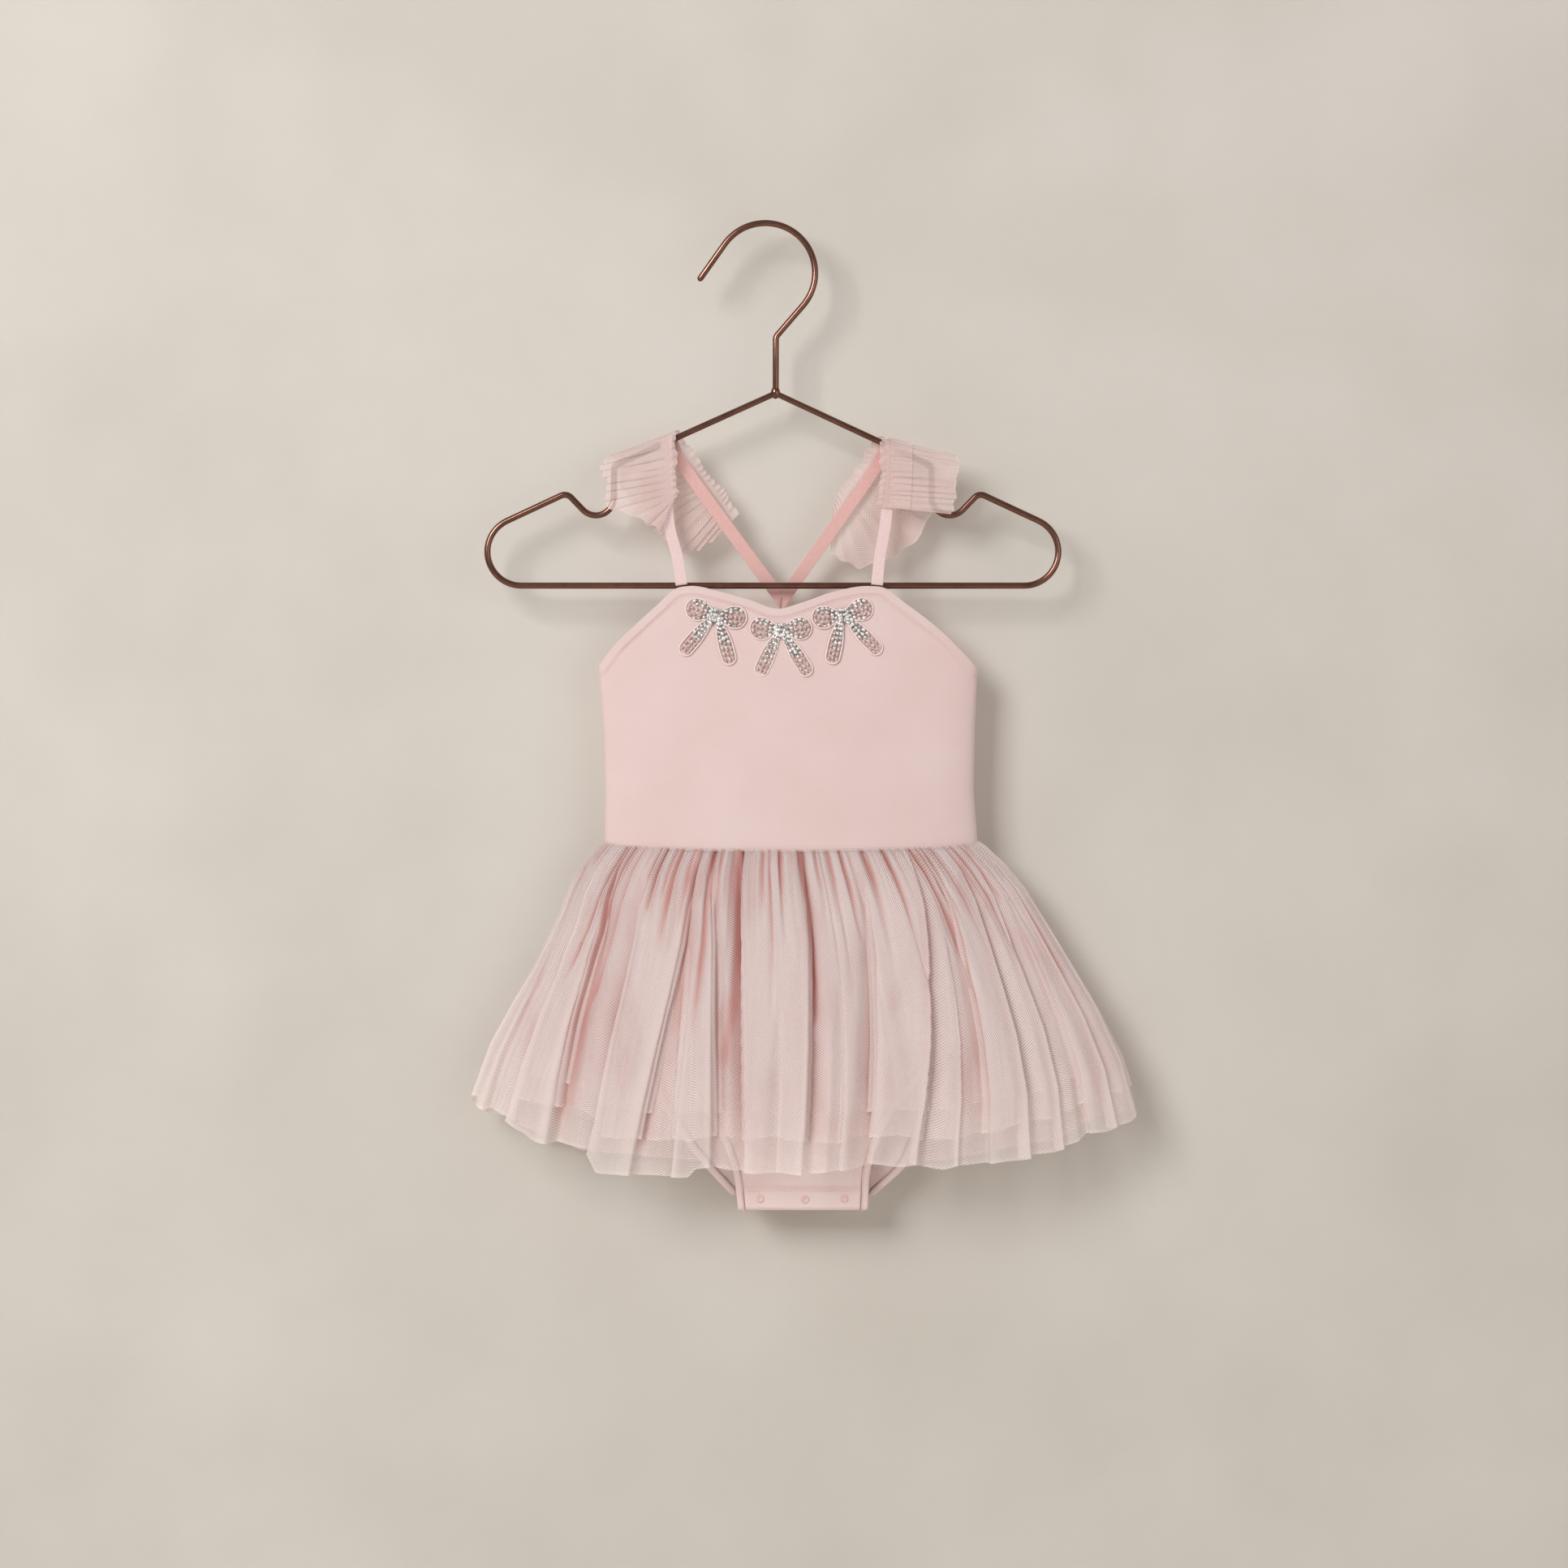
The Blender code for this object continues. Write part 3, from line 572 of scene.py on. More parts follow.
# Long gathers of the front: x at the seam, depth and the share of the length that they reach.
LONG_GATHERS = (
    (-91, 2.4, 0.36),
    (-73, 4.0, 0.5),
    (-68, 3.2, 0.3),
    (-51, 2.4, 0.25),
    (-44, 2.8, 0.34),
    (-34, 2.6, 0.5),
    (-26, 3.2, 0.6),
    (-13, 3.6, 0.7),
    (-2, 2.4, 0.26),
    (8, 2.6, 0.3),
    (18, 4.0, 0.55),
    (31, 2.4, 0.24),
    (39, 2.8, 0.3),
    (50, 2.6, 0.4),
    (61, 2.8, 0.28),
    (76, 3.4, 0.5),
    (86, 2.4, 0.3),
    (97, 2.8, 0.4),
    (105, 2.6, 0.3),
)
# Trim of the front hem: x, and how far the hem lies above the even curve.
HEM_TRIM = (
    (-156, 4.7),
    (-143, 6.0),
    (-123, 1.0),
    (-102, 4.0),
    (-94, 4.4),
    (-88, -6.0),
    (-56, -2.6),
    (-40, -2.0),
    (-36, 1.8),
    (15, 1.5),
    (40, 1.5),
    (56, 5.5),
    (79, 3.0),
    (93, 0.0),
    (117, 0.4),
    (144, -1.0),
    (169, -3.0),
    (188, -6.0),
)
GATHERS = 124  # small gathers that start at the seam and run out below it


def net(name, colour, shade_tone, open_alpha, thread_alpha):
    """Soft net: a diamond mesh of fine threads, with painted shade pinker in its folds and a painted
    highlight on their lips.
    """
    made = Finish(name, Sheen_Weight=0.15, Sheen_Roughness=0.5, Specular_IOR_Level=0.15)
    first = ((made.along("X") + made.along("Y")) * (math.pi / NET_PITCH)).sine().size()
    second = ((made.along("X") - made.along("Y")) * (math.pi / NET_PITCH)).sine().size()
    thread = 1.0 - (first * second).between(0.0, 0.35)
    # Painted shade: the marked fold values blend the net to its pinker shade colour in folds, creases and
    # gathers, and make it more opaque there.
    fold_shade = made.marked("fold_shade").between(0.3, 1.0)
    lip_highlight_and_doubling = made.marked("lip_highlight_and_doubling")
    cloud = made.noise(18.0, 2.0, (1.0, 1.0, 3.0))
    # Painted highlight: the net is lighter along each fold's lip, and more opaque there, where it lies
    # doubled.
    tone = (fold_shade * 0.75 + cloud.between(0.35, 0.75) * 0.3 - lip_highlight_and_doubling * 0.5).between(0.0, 1.0)
    made.paint(tone, colour, shade_tone, 0.8 - thread * 0.1)
    shown = open_alpha + thread * (thread_alpha - open_alpha)
    made.feed(made.shader.inputs["Alpha"], shown + fold_shade * 0.22 + lip_highlight_and_doubling * 0.1 + made.marked("edge") * 0.14)
    made.relief(thread, 0.04)
    return made.material


def skirt_layer(name, layer, shorter, seed, strength, cut_length):
    """One gathered layer: folds whose lips hang over them, and small gathers that run out below the seam."""
    rng = np.random.default_rng(seed)
    columns = np.linspace(0, 360, SKIRT_COLUMNS, endpoint=False)
    length = abs(HEM_FRONT_Z - WAIST_SIDE_Z)
    share = (length - shorter) / length
    small_at = (np.arange(GATHERS) + rng.uniform(-0.45, 0.45, GATHERS)) * 360 / GATHERS
    small_half = rng.uniform(0.55, 1.15, GATHERS)
    small_depth = 0.7 + 2.9 * rng.random(GATHERS) ** 1.5
    small_reach = rng.uniform(0.08, 0.22, GATHERS) + 0.55 * rng.random(GATHERS) ** 4
    small_side = rng.choice([-1, 1], GATHERS)
    long_x, long_depth, long_reach = np.transpose(LONG_GATHERS)
    seam_middle, seam_half, _, _ = side_sizes(SKIRT, 0.0)
    small_at = np.append(small_at, np.degrees(np.arccos((seam_middle - long_x) / seam_half)))
    small_half = np.append(small_half, 0.9 + long_reach)
    small_depth = np.append(small_depth, long_depth)
    small_reach = np.append(small_reach, long_reach)
    small_side = np.append(small_side, np.where(np.arange(len(long_x)) % 3, 1, -1))
    wave_turns = rng.integers(22, 52, 7)
    wave_phases = rng.uniform(0, 2 * math.pi, 7)
    wave = np.sum(np.sin(wave_turns[:, None] * np.radians(columns) + wave_phases[:, None]), axis=0) / 3.0
    slow_turns = wave_turns[:4, None] // 4
    slow = np.sum(np.sin(slow_turns * np.radians(columns) + wave_phases[3:, None]), axis=0) / 2.0
    fold_drop = rng.uniform(-2.6, 2.2, len(FOLDS))
    panel_tone = rng.uniform(0.0, 0.4, len(FOLDS) + 1)
    lip_angles, lip_swings = np.transpose(FOLDS)[:2]
    trim_x, trim_rise = np.transpose(HEM_TRIM)
    points, folds, lips, edges, us, vs = [], [], [], [], [], []
    for step in np.linspace(0, 1, SKIRT_ROWS) ** 1.2:
        along = step * share
        swing = (1 - along) ** 1.2
        pull = np.zeros(SKIRT_COLUMNS)
        slip = np.zeros(SKIRT_COLUMNS)
        lip_highlight_and_doubling = np.zeros(SKIRT_COLUMNS)
        crease = np.zeros(SKIRT_COLUMNS)
        drop = np.zeros(SKIRT_COLUMNS)
        for number, (middle, turned, wide, depth, side, start) in enumerate(FOLDS):
            off = (columns - middle - turned * swing + layer * 0.7 * side + 180) % 360 - 180
            grown = max(0.0, (along - start) / (1 - start)) ** 0.5
            wide = wide * (0.4 + 0.6 * grown)
            steep = wide * 0.22
            off = off * side + steep
            open_side = np.where((off <= 0) & (off > -wide), 0.5 + 0.5 * np.cos(math.pi * off / wide), 0.0)
            lip_side = np.where((off > 0) & (off < steep), 0.5 + 0.5 * np.cos(math.pi * off / steep), 0.0)
            bump = open_side**1.5 + lip_side
            pull = np.maximum(pull, bump * depth * grown * strength)
            inner = np.exp(-((off - steep * 0.3) / (steep * 0.6)) ** 2)
            # Painted shade: a dark line along the crease of each fold.
            crease = np.maximum(crease, inner * grown * depth / 9)
            slip += (open_side**3 + lip_side) * side * wide * 0.4 * OVERLAP * min(1.0, grown * 1.6)
            # Painted highlight along each fold's lip, where the net also lies doubled.
            lip_highlight_and_doubling = np.maximum(lip_highlight_and_doubling, np.exp(-((off - steep * 1.5) / (steep * 0.9)) ** 2) * grown)
            drop += np.exp(-((off - steep) / (wide * 0.7)) ** 2) * fold_drop[number]
        small = np.zeros(SKIRT_COLUMNS)
        fade = np.clip(1 - along / small_reach, 0, 1) ** 0.6 * min(1.0, along * 40 + 0.35)
        for centre, half, depth, side, kept in zip(small_at, small_half, small_depth, small_side, fade):
            if kept > 0:
                off = (columns - centre + 180) % 360 - 180
                bump = np.where(np.abs(off) < half, np.cos(np.pi / 2 * off / half) ** 2, 0.0)
                small += bump * depth * kept
                slip += bump * side * half * 0.5 * kept
        pitch = PITCH_WAIST + (PITCH_HEM - PITCH_WAIST) * along
        placed = columns + slip
        turn = np.radians(placed)
        middle, half, front, back = side_sizes(SKIRT, along)
        fanned = np.exp(-((placed - 183) / 16) ** 2) * along**2 * 1.6
        inset = layer * pitch * (1 - fanned) + pull + small
        inset += (wave * 0.8 + slow * 1.2) * min(1.0, along * 2.2)
        depths = np.where(np.sin(turn) > 0, inset - front, back - inset)
        x = middle - (half - inset) * np.cos(turn)
        y = depths * np.abs(np.sin(turn)) ** OVAL_POWER
        top = WAIST_SIDE_Z - WAIST_DIP * np.abs(np.sin(turn)) + 1.6
        rise = HEM_SIDE_RISE * np.abs(np.cos(turn)) ** HEM_POWER
        even_x = middle - half * np.cos(turn)
        in_front = np.clip(np.sin(turn) * 4 + 0.6, 0, 1)
        trim = np.interp(even_x, trim_x, trim_rise) * in_front * (1 - 0.3 * layer)
        hem = top + share * (HEM_FRONT_Z + rise - top) + drop + wave * 0.4 + trim
        z = top + step * (hem - top)
        points.append(np.stack([x, y, z], axis=1))
        # Painted shade for the net's colour: deeper where folds, creases and small gathers pull it in, plus a
        # random tone for each panel between folds, fading towards the hem.
        between = panel_tone[np.searchsorted(lip_angles + lip_swings * swing, columns)]
        faded = 1 - 0.8 * along**3
        folds.append(np.clip(0.1 + small / 3.2 + (between + pull / 14 + crease) * faded, 0, 1))
        lips.append(lip_highlight_and_doubling)
        edges.append(np.full(SKIRT_COLUMNS, max(0.0, 1 - (1 - step) * length * share / 1.1)))
        us.append(columns / 360 * SKIRT_CUT)
        vs.append(np.full(SKIRT_COLUMNS, step * cut_length))
    faces = [face[::-1] for face in grid_faces(SKIRT_ROWS, SKIRT_COLUMNS, ring=True)]
    made = mesh_piece(name + "_net", np.concatenate(points), faces, skirt_net)
    flat_map(made, np.concatenate(us), np.concatenate(vs))
    mark(made, "fold_shade", np.concatenate(folds))
    mark(made, "lip_highlight_and_doubling", np.concatenate(lips))
    mark(made, "edge", np.concatenate(edges))
    fit(made, "tulle", name)
    return made


skirt_net = net("skirt_net", TULLE, TULLE_SHADE, 0.26, 0.74)
skirt_outer = skirt_layer("skirt_outer", 0, 0.0, 11, 1.0, 176.0)
skirt_middle = skirt_layer("skirt_middle", 1, 17.5, 23, 0.95, 159.0)
skirt_inner = skirt_layer("skirt_inner", 2, 32.0, 37, 0.9, 144.0)


# Brief. Front and back are cut from the bodice's jersey and hang from the waist seam inside the net. The back
# turns under the crotch and up behind the front flap, where a placket carries the press studs.
BRIEF_KNIT = (246, 230, 226)
BRIEF_SHADE = (236, 210, 205)
HIP_Z = -432.0
BRIEF_TUCK = 6.0
BINDING_WIDTH = 4.0
PLACKET_Z = -509.8
PLACKET_RISE = 0.7
# Height, middle, half width, depth of the front and of the back.
BRIEF = (
    (-326.0, 13.65, 92.7, 7.0, 5.0),
    (-380.0, 15.0, 93.0, 8.0, 7.0),
    (-430.0, 16.5, 92.0, 8.0, 7.0),
    (-465.0, 18.0, 90.0, 7.5, 7.0),
    (-522.0, 20.0, 88.0, 6.0, 6.0),
)
# Leg edges from the hip to the crotch: height and half width.
LEG_FRONT = ((-436.0, 84.0), (-444.0, 72.0), (-456.0, 60.0), (-475.0, 46.0), (-498.0, 37.0), (-520.5, 34.5))
LEG_BACK = ((-438.0, 88.0), (-452.0, 81.0), (-470.0, 71.0), (-488.0, 60.0), (-502.0, 49.0), (-514.0, 38.0))
# The back under the crotch and up behind the flap: y and z across the middle of its width.
CROTCH_FOLD = ((5.4, -517.0), (3.9, -518.6), (0.6, -519.8), (-2.8, -518.4), (-3.9, -514.0), (-3.9, -508.0))
CROTCH_HALF = 31.5
CROTCH_MIDDLE = 20.0


def resampled(rows, count):
    """Rows of numbers along a smooth curve through the given rows, evenly spaced by their first three."""
    rows = np.asarray(rows, float)
    ends = np.vstack([2 * rows[0] - rows[1], rows, 2 * rows[-1] - rows[-2]])
    fine = []
    for a, b, c, d in zip(ends, ends[1:], ends[2:], ends[3:]):
        for t in np.linspace(0, 1, 24, endpoint=False):
            fine.append(0.5 * (2 * b + (c - a) * t + (2 * a - 5 * b + 4 * c - d) * t**2
                               + (3 * b - a - 3 * c + d) * t**3))
    fine = np.vstack([fine, rows[-1]])
    gone = np.linalg.norm(np.diff(fine[:, :3], axis=0), axis=1)
    at = np.concatenate([[0], np.cumsum(gone)])
    return np.stack([np.interp(np.linspace(0, at[-1], count), at, column) for column in fine.T], axis=1)


def right_sag(x, z):
    """How far the right leg edge of the back has dropped outwards above the crotch."""
    return 4.0 * math.exp(-((z + 499) / 11) ** 2) * min(1.0, max(0.0, (x - 40) / 15))


def brief_point(side, z, half_width, back, inset):
    """Point of the brief's front or back at a height and a distance from its middle."""
    middle, half, front_depth, back_depth = section(BRIEF, z)
    turn = math.degrees(math.acos(min(1.0, half_width / half)))
    angle = turn if side < 0 else 180 - turn
    x, y = oval(middle, half, front_depth, back_depth, -angle if back else angle, inset)
    if back:
        x += right_sag(x, z)
    return (x, y + SEAM_GAP / 2 * (1 if back else -1), z)


def leg_line(edge, distance):
    """The leg edge with the hip at its top, moved in from the opening."""
    hip_half = section(BRIEF, HIP_Z)[1]
    line = resampled([(hip_half, HIP_Z)] + [(half, z) for z, half in edge], 60)
    along = np.gradient(line, axis=0)
    along /= np.linalg.norm(along, axis=1, keepdims=True)
    moved = line + distance * np.stack([along[:, 1], -along[:, 0]], axis=1)
    moved[0] = (hip_half, HIP_Z + distance)
    moved[-1] = (line[-1, 0] - distance, line[-1, 1])
    return moved


def brief_panel(name, edge, back):
    """Front or back of the brief: full width down to the hip, then narrowing between the leg bindings."""
    waist = side_sizes(BODICE, WAIST_SIDE_Z)
    heights = [(share, None) for share in np.linspace(0, 1, 24)]
    heights += [(None, row) for row in leg_line(edge, BINDING_WIDTH + SEAM_GAP)[1:]]
    turns = np.linspace(0, 1, 61)
    points, groove_shades = [], []
    for share, row in heights:
        for turn in turns:
            if row is None:
                angle = 180 * turn
                top = waist_z(angle) - SEAM_GAP
                z = top + share * (HIP_Z + BINDING_WIDTH - top)
                hung = oval(*waist, -angle if back else angle, BRIEF_TUCK)
                low = oval(*section(BRIEF, z), -angle if back else angle)
                part = min(1.0, share * 3)
                x, y = hung[0] + (low[0] - hung[0]) * part, hung[1] + (low[1] - hung[1]) * part
            else:
                half_width, z = row
                half = section(BRIEF, z)[1]
                first = math.degrees(math.acos(min(1.0, half_width / half)))
                angle = first + (180 - 2 * first) * turn
                x, y = oval(*section(BRIEF, z), -angle if back else angle)
            if back:
                x += right_sag(x, z)
            near = math.exp(-((z + 500) / 22) ** 2)
            wrinkle = near * (0.55 * math.sin(x / 3.1 + z / 4.0) * math.sin(z / 5.3 + x / 19)
                              + 0.35 * math.sin(x / 6.5 - z / 2.9))
            rise = 0.0
            if not back:
                rise = PLACKET_RISE * float(np.clip((PLACKET_Z - z) / 0.8 + 0.5, 0, 1))
                rise -= 0.5 * math.exp(-((z - PLACKET_Z - 0.6) / 0.6) ** 2)
            out = (rise + wrinkle * (1 if z > PLACKET_Z else 0.3)) * math.sin(math.radians(angle))
            points.append((x, y + (out + SEAM_GAP / 2) * (1 if back else -1), z))
            # Painted shade in the groove under the placket's edge on the front.
            groove_shades.append(0.0 if back else 0.9 * math.exp(-((z - PLACKET_Z - 0.6) / 0.6) ** 2))
    if back:
        for y, z in resampled(CROTCH_FOLD, 22):
            points.extend((CROTCH_MIDDLE + CROTCH_HALF * (2 * turn - 1), y, z) for turn in turns)
            groove_shades.extend(0.0 for turn in turns)
    faces = grid_faces(len(points) // len(turns), len(turns))
    if not back:
        faces = [face[::-1] for face in faces]
    made = mesh_piece(name + "_jersey", points, faces, brief_knit)
    mark(made, "seam", groove_shades)
    thicken(made, PANEL)
    fit(made, "knit", name)
    return made


def leg_binding(name, side):
    """Folded strip round one leg opening, from the front flap over the hip to the crotch at the back."""
    profile = [(BINDING_WIDTH, 0.0), (3.0, -0.45), (1.8, -0.55), (0.8, -0.35), (0.15, 0.1), (0.0, 0.75),
               (0.15, 1.4), (0.9, 1.75), (2.4, 1.8), (BINDING_WIDTH, 1.6)]
    rings, groove_shades = [], []
    for edge, back in ((LEG_FRONT, False), (LEG_BACK, True)):
        lines = [leg_line(edge, distance) for distance, _ in profile]
        stations = list(zip(*lines))
        for number, station in enumerate(stations if back else stations[:0:-1]):
            pucker = 0.14 * math.sin(number * 2.1) + 0.1 * math.sin(number * 0.9)
            rings.append([brief_point(side, z, half, back, inset + pucker * (inset < 0.5))
                          for (half, z), (_, inset) in zip(station, profile)])
            # Painted shade along both edges of the binding, where it meets the panels.
            groove_shades.extend(0.9 if distance == BINDING_WIDTH else 0.0 for distance, _ in profile)
    count = len(profile)
    faces = grid_faces(len(rings), count, ring=True)
    faces += [tuple(range(count)), tuple(range((len(rings) - 1) * count, len(rings) * count))]
    made = mesh_piece(name + "_strip", np.concatenate(rings), faces, brief_knit)
    mark(made, "seam", groove_shades)
    face_outwards(made)
    fit(made, "knit", name)
    return made


brief_knit = jersey("brief_jersey", BRIEF_KNIT, BRIEF_SHADE)
brief_front = brief_panel("brief_front", LEG_FRONT, back=False)
brief_back = brief_panel("brief_back", LEG_BACK, back=True)
leg_binding("leg_binding_left", -1)
leg_binding("leg_binding_right", 1)


# Press studs. Three moulded caps, 4.6 mm across, are set through the placket of the front flap.
SNAPS = ((-2.8, -514.4), (20.9, -514.8), (41.7, -514.4))
# Half section of a cap: radius and height above the cloth.
CAP = ((2.3, 0.0), (2.32, 0.35), (2.2, 0.75), (1.9, 1.02), (1.5, 1.1), (1.15, 0.98), (0.95, 0.72),
       (0.5, 0.66))
CAP_SIDES = 28


def cap(name, x, z):
    """Domed ring of one press stud, its axis along Y."""
    base = brief_point(1 if x > CROTCH_MIDDLE else -1, z, abs(x - CROTCH_MIDDLE), False, 0.0)[1] - SEAM_GAP
    points = []
    for radius, height in CAP:
        for turn in np.linspace(0, 2 * math.pi, CAP_SIDES, endpoint=False):
            points.append((x + radius * math.cos(turn), base - height, z + radius * math.sin(turn)))
    faces = grid_faces(len(CAP), CAP_SIDES, ring=True)
    faces += [tuple(range(CAP_SIDES)), tuple(range(len(points) - CAP_SIDES, len(points)))]
    made = mesh_piece(name + "_cap", points, faces, cap_plastic.material)
    face_outwards(made)
    fit(made, "snap", name)


cap_plastic = Finish("cap_plastic", Coat_Roughness=0.2)
cap_plastic.paint(cap_plastic.noise(1.4, 2.0), (224, 186, 180), (244, 216, 210),
                  0.28 + cap_plastic.noise(0.7, 3.0) * 0.2)
for number, (cap_x, cap_z) in enumerate(SNAPS, 1):
    cap(f"snap_{number}", cap_x, cap_z)


# Straps. Flat plush elastic, 6 to 7 mm wide, is sewn to the top of the front, runs over the hanger and meets
# the other strap in a V on the back. Its brushed face is pale and its inner face is plain. The inner face is
# painted darker and pinker as painted shade, where it shows on the straps that run down the back.
PLUSH = (236, 212, 210)
PLUSH_SHADE = (222, 192, 189)
# Painted shade: the inner face's colours are a darker, pinker copy of the plush face's.
SHADED_INNER = (228, 186, 181)
INNER_SHADE = (214, 166, 160)
STRAP_THICKNESS = 1.1
STRAP_MEET_X = 8.9
# Route from the front edge over the arm to the back: x, y, z, half width and slope across.
STRAPS = {
    "strap_left": (
        (-44.2, -6.6, -190.4, 3.1, 0.0),
        (-46.6, -4.4, -175.0, 3.0, 0.0),
        (-51.2, -3.2, -156.0, 3.0, 0.0),
        (-52.4, -2.9, -124.0, 3.0, 0.0),
        (-52.2, -2.9, -114.0, 3.2, 0.45),
        (-52.0, 0.0, -111.2, 3.4, 0.45),
        (-50.4, 3.0, -113.4, 3.6, 0.45),
        (-44.4, 3.0, -125.2, 3.3, 0.0),
        (-23.0, 4.0, -155.0, 3.3, 0.0),
        (-5.0, 6.2, -179.4, 3.3, 0.0),
        (8.9, 8.6, -197.8, 3.3, 0.0),
    ),
    "strap_right": (
        (59.0, -6.6, -190.4, 3.1, 0.0),
        (60.6, -4.4, -175.0, 3.0, 0.0),
        (63.8, -3.2, -156.0, 3.0, 0.0),
        (66.0, -2.9, -124.0, 3.0, 0.0),
        (66.2, -3.1, -116.4, 3.2, -0.45),
        (66.0, 0.0, -113.6, 3.4, -0.45),
        (64.3, 3.2, -115.8, 3.6, -0.45),
        (59.4, 3.0, -126.2, 3.3, 0.0),
        (39.4, 4.0, -155.0, 3.3, 0.0),
        (22.0, 6.2, -179.4, 3.3, 0.0),
        (8.9, 8.6, -197.8, 3.3, 0.0),
    ),
}


def elastic(name, colour, shade, plush):
    """Knitted elastic with fine ribs across it and a brushed or plain face."""
    made = Finish(name, Sheen_Weight=0.5 if plush else 0.2, Sheen_Roughness=0.35, Specular_IOR_Level=0.2)
    ribs = (made.along("Y") * (2 * math.pi / 0.9)).sine() * 0.5 + 0.5
    yarns = (made.along("X") * (2 * math.pi / 0.75)).sine() * 0.5 + 0.5
    fuzz = made.noise(1.1, 4.0)
    tone = (fuzz * 0.6 + ribs * 0.25 + yarns * 0.15).between(0.15, 0.85)
    made.paint(tone, shade, colour, 0.92 - ribs * 0.15)
    made.relief(fuzz * (0.7 if plush else 0.2) + ribs * 0.4, 0.12)
    return made.material


strap_plush = elastic("strap_plush", PLUSH, PLUSH_SHADE, plush=True)
# The inner face's darker material is painted shade on the elastic.
strap_inner_shaded = elastic("strap_inner_shaded", SHADED_INNER, INNER_SHADE, plush=False)


def strap(name, route, side):
    """One strap as a ribbon whose cut end is mitred where it meets the other strap."""
    rows = resampled(route, 140)
    points = rows[:, :3]
    along = np.gradient(points, axis=0)
    along /= np.linalg.norm(along, axis=1, keepdims=True)
    level = np.stack([np.ones(len(rows)), np.zeros(len(rows)), rows[:, 4]], axis=1)
    across = level - np.sum(level * along, axis=1, keepdims=True) * along
    across /= np.linalg.norm(across, axis=1, keepdims=True)
    shares = np.array([-1.0, -0.92, -0.6, -0.2, 0.2, 0.6, 0.92, 1.0])
    grid = points[:, None, :] + across[:, None, :] * (rows[:, 3:4] * shares[None, :])[:, :, None]
    meet = STRAP_MEET_X + side * SEAM_GAP
    past = (grid[:, :, 0] - meet) * side < 0
    run = along[-1]
    for column in range(len(shares)):
        for row in np.nonzero(past[:, column])[0]:
            grid[row, column] += run * (meet - grid[row, column, 0]) / run[0]
    last = grid[-1]
    for column in range(len(shares)):
        last[column] += run * (meet - last[column, 0]) / run[0]
    gone = np.concatenate([[0], np.cumsum(np.linalg.norm(np.diff(points, axis=0), axis=1))])
    faces = grid_faces(len(rows), len(shares))
    made = mesh_piece(name + "_elastic", grid.reshape(-1, 3), faces, strap_plush)
    made.data.materials.append(strap_inner_shaded)
    flat_map(made, np.tile(shares * 3.3, len(rows)), np.repeat(gone, len(shares)))
    thicken(made, STRAP_THICKNESS, inwards=False)
    made.modifiers["wall"].material_offset = 1
    fit(made, "elastic", name)


strap("strap_left", STRAPS["strap_left"], -1)
strap("strap_right", STRAPS["strap_right"], 1)


# Ruffles. A strip of the skirt's net is gathered on a line of stitches along each strap: a short header frill
# stands on the neck side and the rest spreads outwards in small pleats, over the hanger and down the back.
RUFFLE_NET = (235, 212, 207)
# Pinker colour that the painted shade in the pleats and the random blotches blend towards.
RUFFLE_SHADE = (208, 156, 147)
HEADER_FRONT = 6.4
HEADER_BACK = 8.2
HEADER_PITCH = 3.7
PLEATS = 27
RUFFLE_ROWS = 460
DOUBLED = 11.5  # width of the second strip on the right shoulder's front
# From the front end over the arm to the back end: stitch line x, y, z and outer edge x, y, z.
RUFFLES = {
    "ruffle_left": (
        (-50.7, -5.7, -151.0, -55.0, -7.6, -162.0),
        (-51.2, -5.7, -146.5, -65.0, -8.1, -156.0),
        (-51.8, -5.7, -141.5, -83.0, -8.6, -149.5),
        (-52.2, -5.7, -136.0, -83.5, -8.6, -141.0),
        (-52.5, -5.7, -130.0, -84.5, -8.1, -135.0),
        (-52.6, -5.7, -124.0, -87.0, -7.1, -130.5),
        (-52.6, -5.7, -117.5, -86.0, -6.0, -126.5),
        (-52.3, -4.6, -113.2, -84.0, -4.2, -124.0),
        (-52.0, 0.0, -110.2, -82.0, 0.0, -121.6),
        (-50.4, 4.8, -113.0, -81.0, 4.2, -124.0),
        (-46.0, 5.5, -119.5, -79.0, 6.0, -131.0),
        (-41.5, 5.7, -125.8, -75.0, 7.2, -140.0),
        (-37.0, 6.0, -132.0, -68.0, 8.0, -149.0),
        (-32.5, 6.2, -138.2, -60.0, 8.6, -158.0),
        (-28.0, 6.4, -144.4, -53.0, 8.8, -167.0),
        (-23.5, 6.6, -150.6, -42.0, 8.8, -173.0),
        (-19.0, 6.8, -156.8, -28.0, 8.6, -165.5),
    ),
    "ruffle_right": (
        (65.0, -5.7, -149.6, 99.0, -8.1, -153.6),
        (65.6, -5.7, -144.0, 100.5, -8.6, -147.0),
        (66.0, -5.7, -138.0, 101.5, -8.6, -140.5),
        (66.2, -5.7, -132.0, 102.3, -8.1, -134.0),
        (66.4, -5.7, -126.0, 103.0, -7.1, -128.6),
        (66.5, -5.7, -120.4, 103.4, -6.0, -126.6),
        (66.4, -4.8, -116.4, 102.8, -5.0, -124.4),
        (66.0, 0.0, -112.8, 101.6, 0.0, -121.6),
        (64.4, 4.8, -115.6, 100.0, 5.0, -124.4),
        (60.2, 5.5, -122.2, 98.0, 6.0, -132.0),
        (56.2, 5.7, -128.2, 94.5, 7.2, -142.0),
        (52.0, 6.0, -134.4, 88.0, 8.0, -154.0),
        (47.8, 6.2, -140.6, 79.0, 8.6, -166.0),
        (43.6, 6.4, -146.8, 66.0, 8.8, -176.0),
        (39.4, 6.6, -153.0, 49.0, 8.8, -180.0),
        (35.2, 6.8, -159.2, 34.5, 8.6, -173.5),
    ),
}


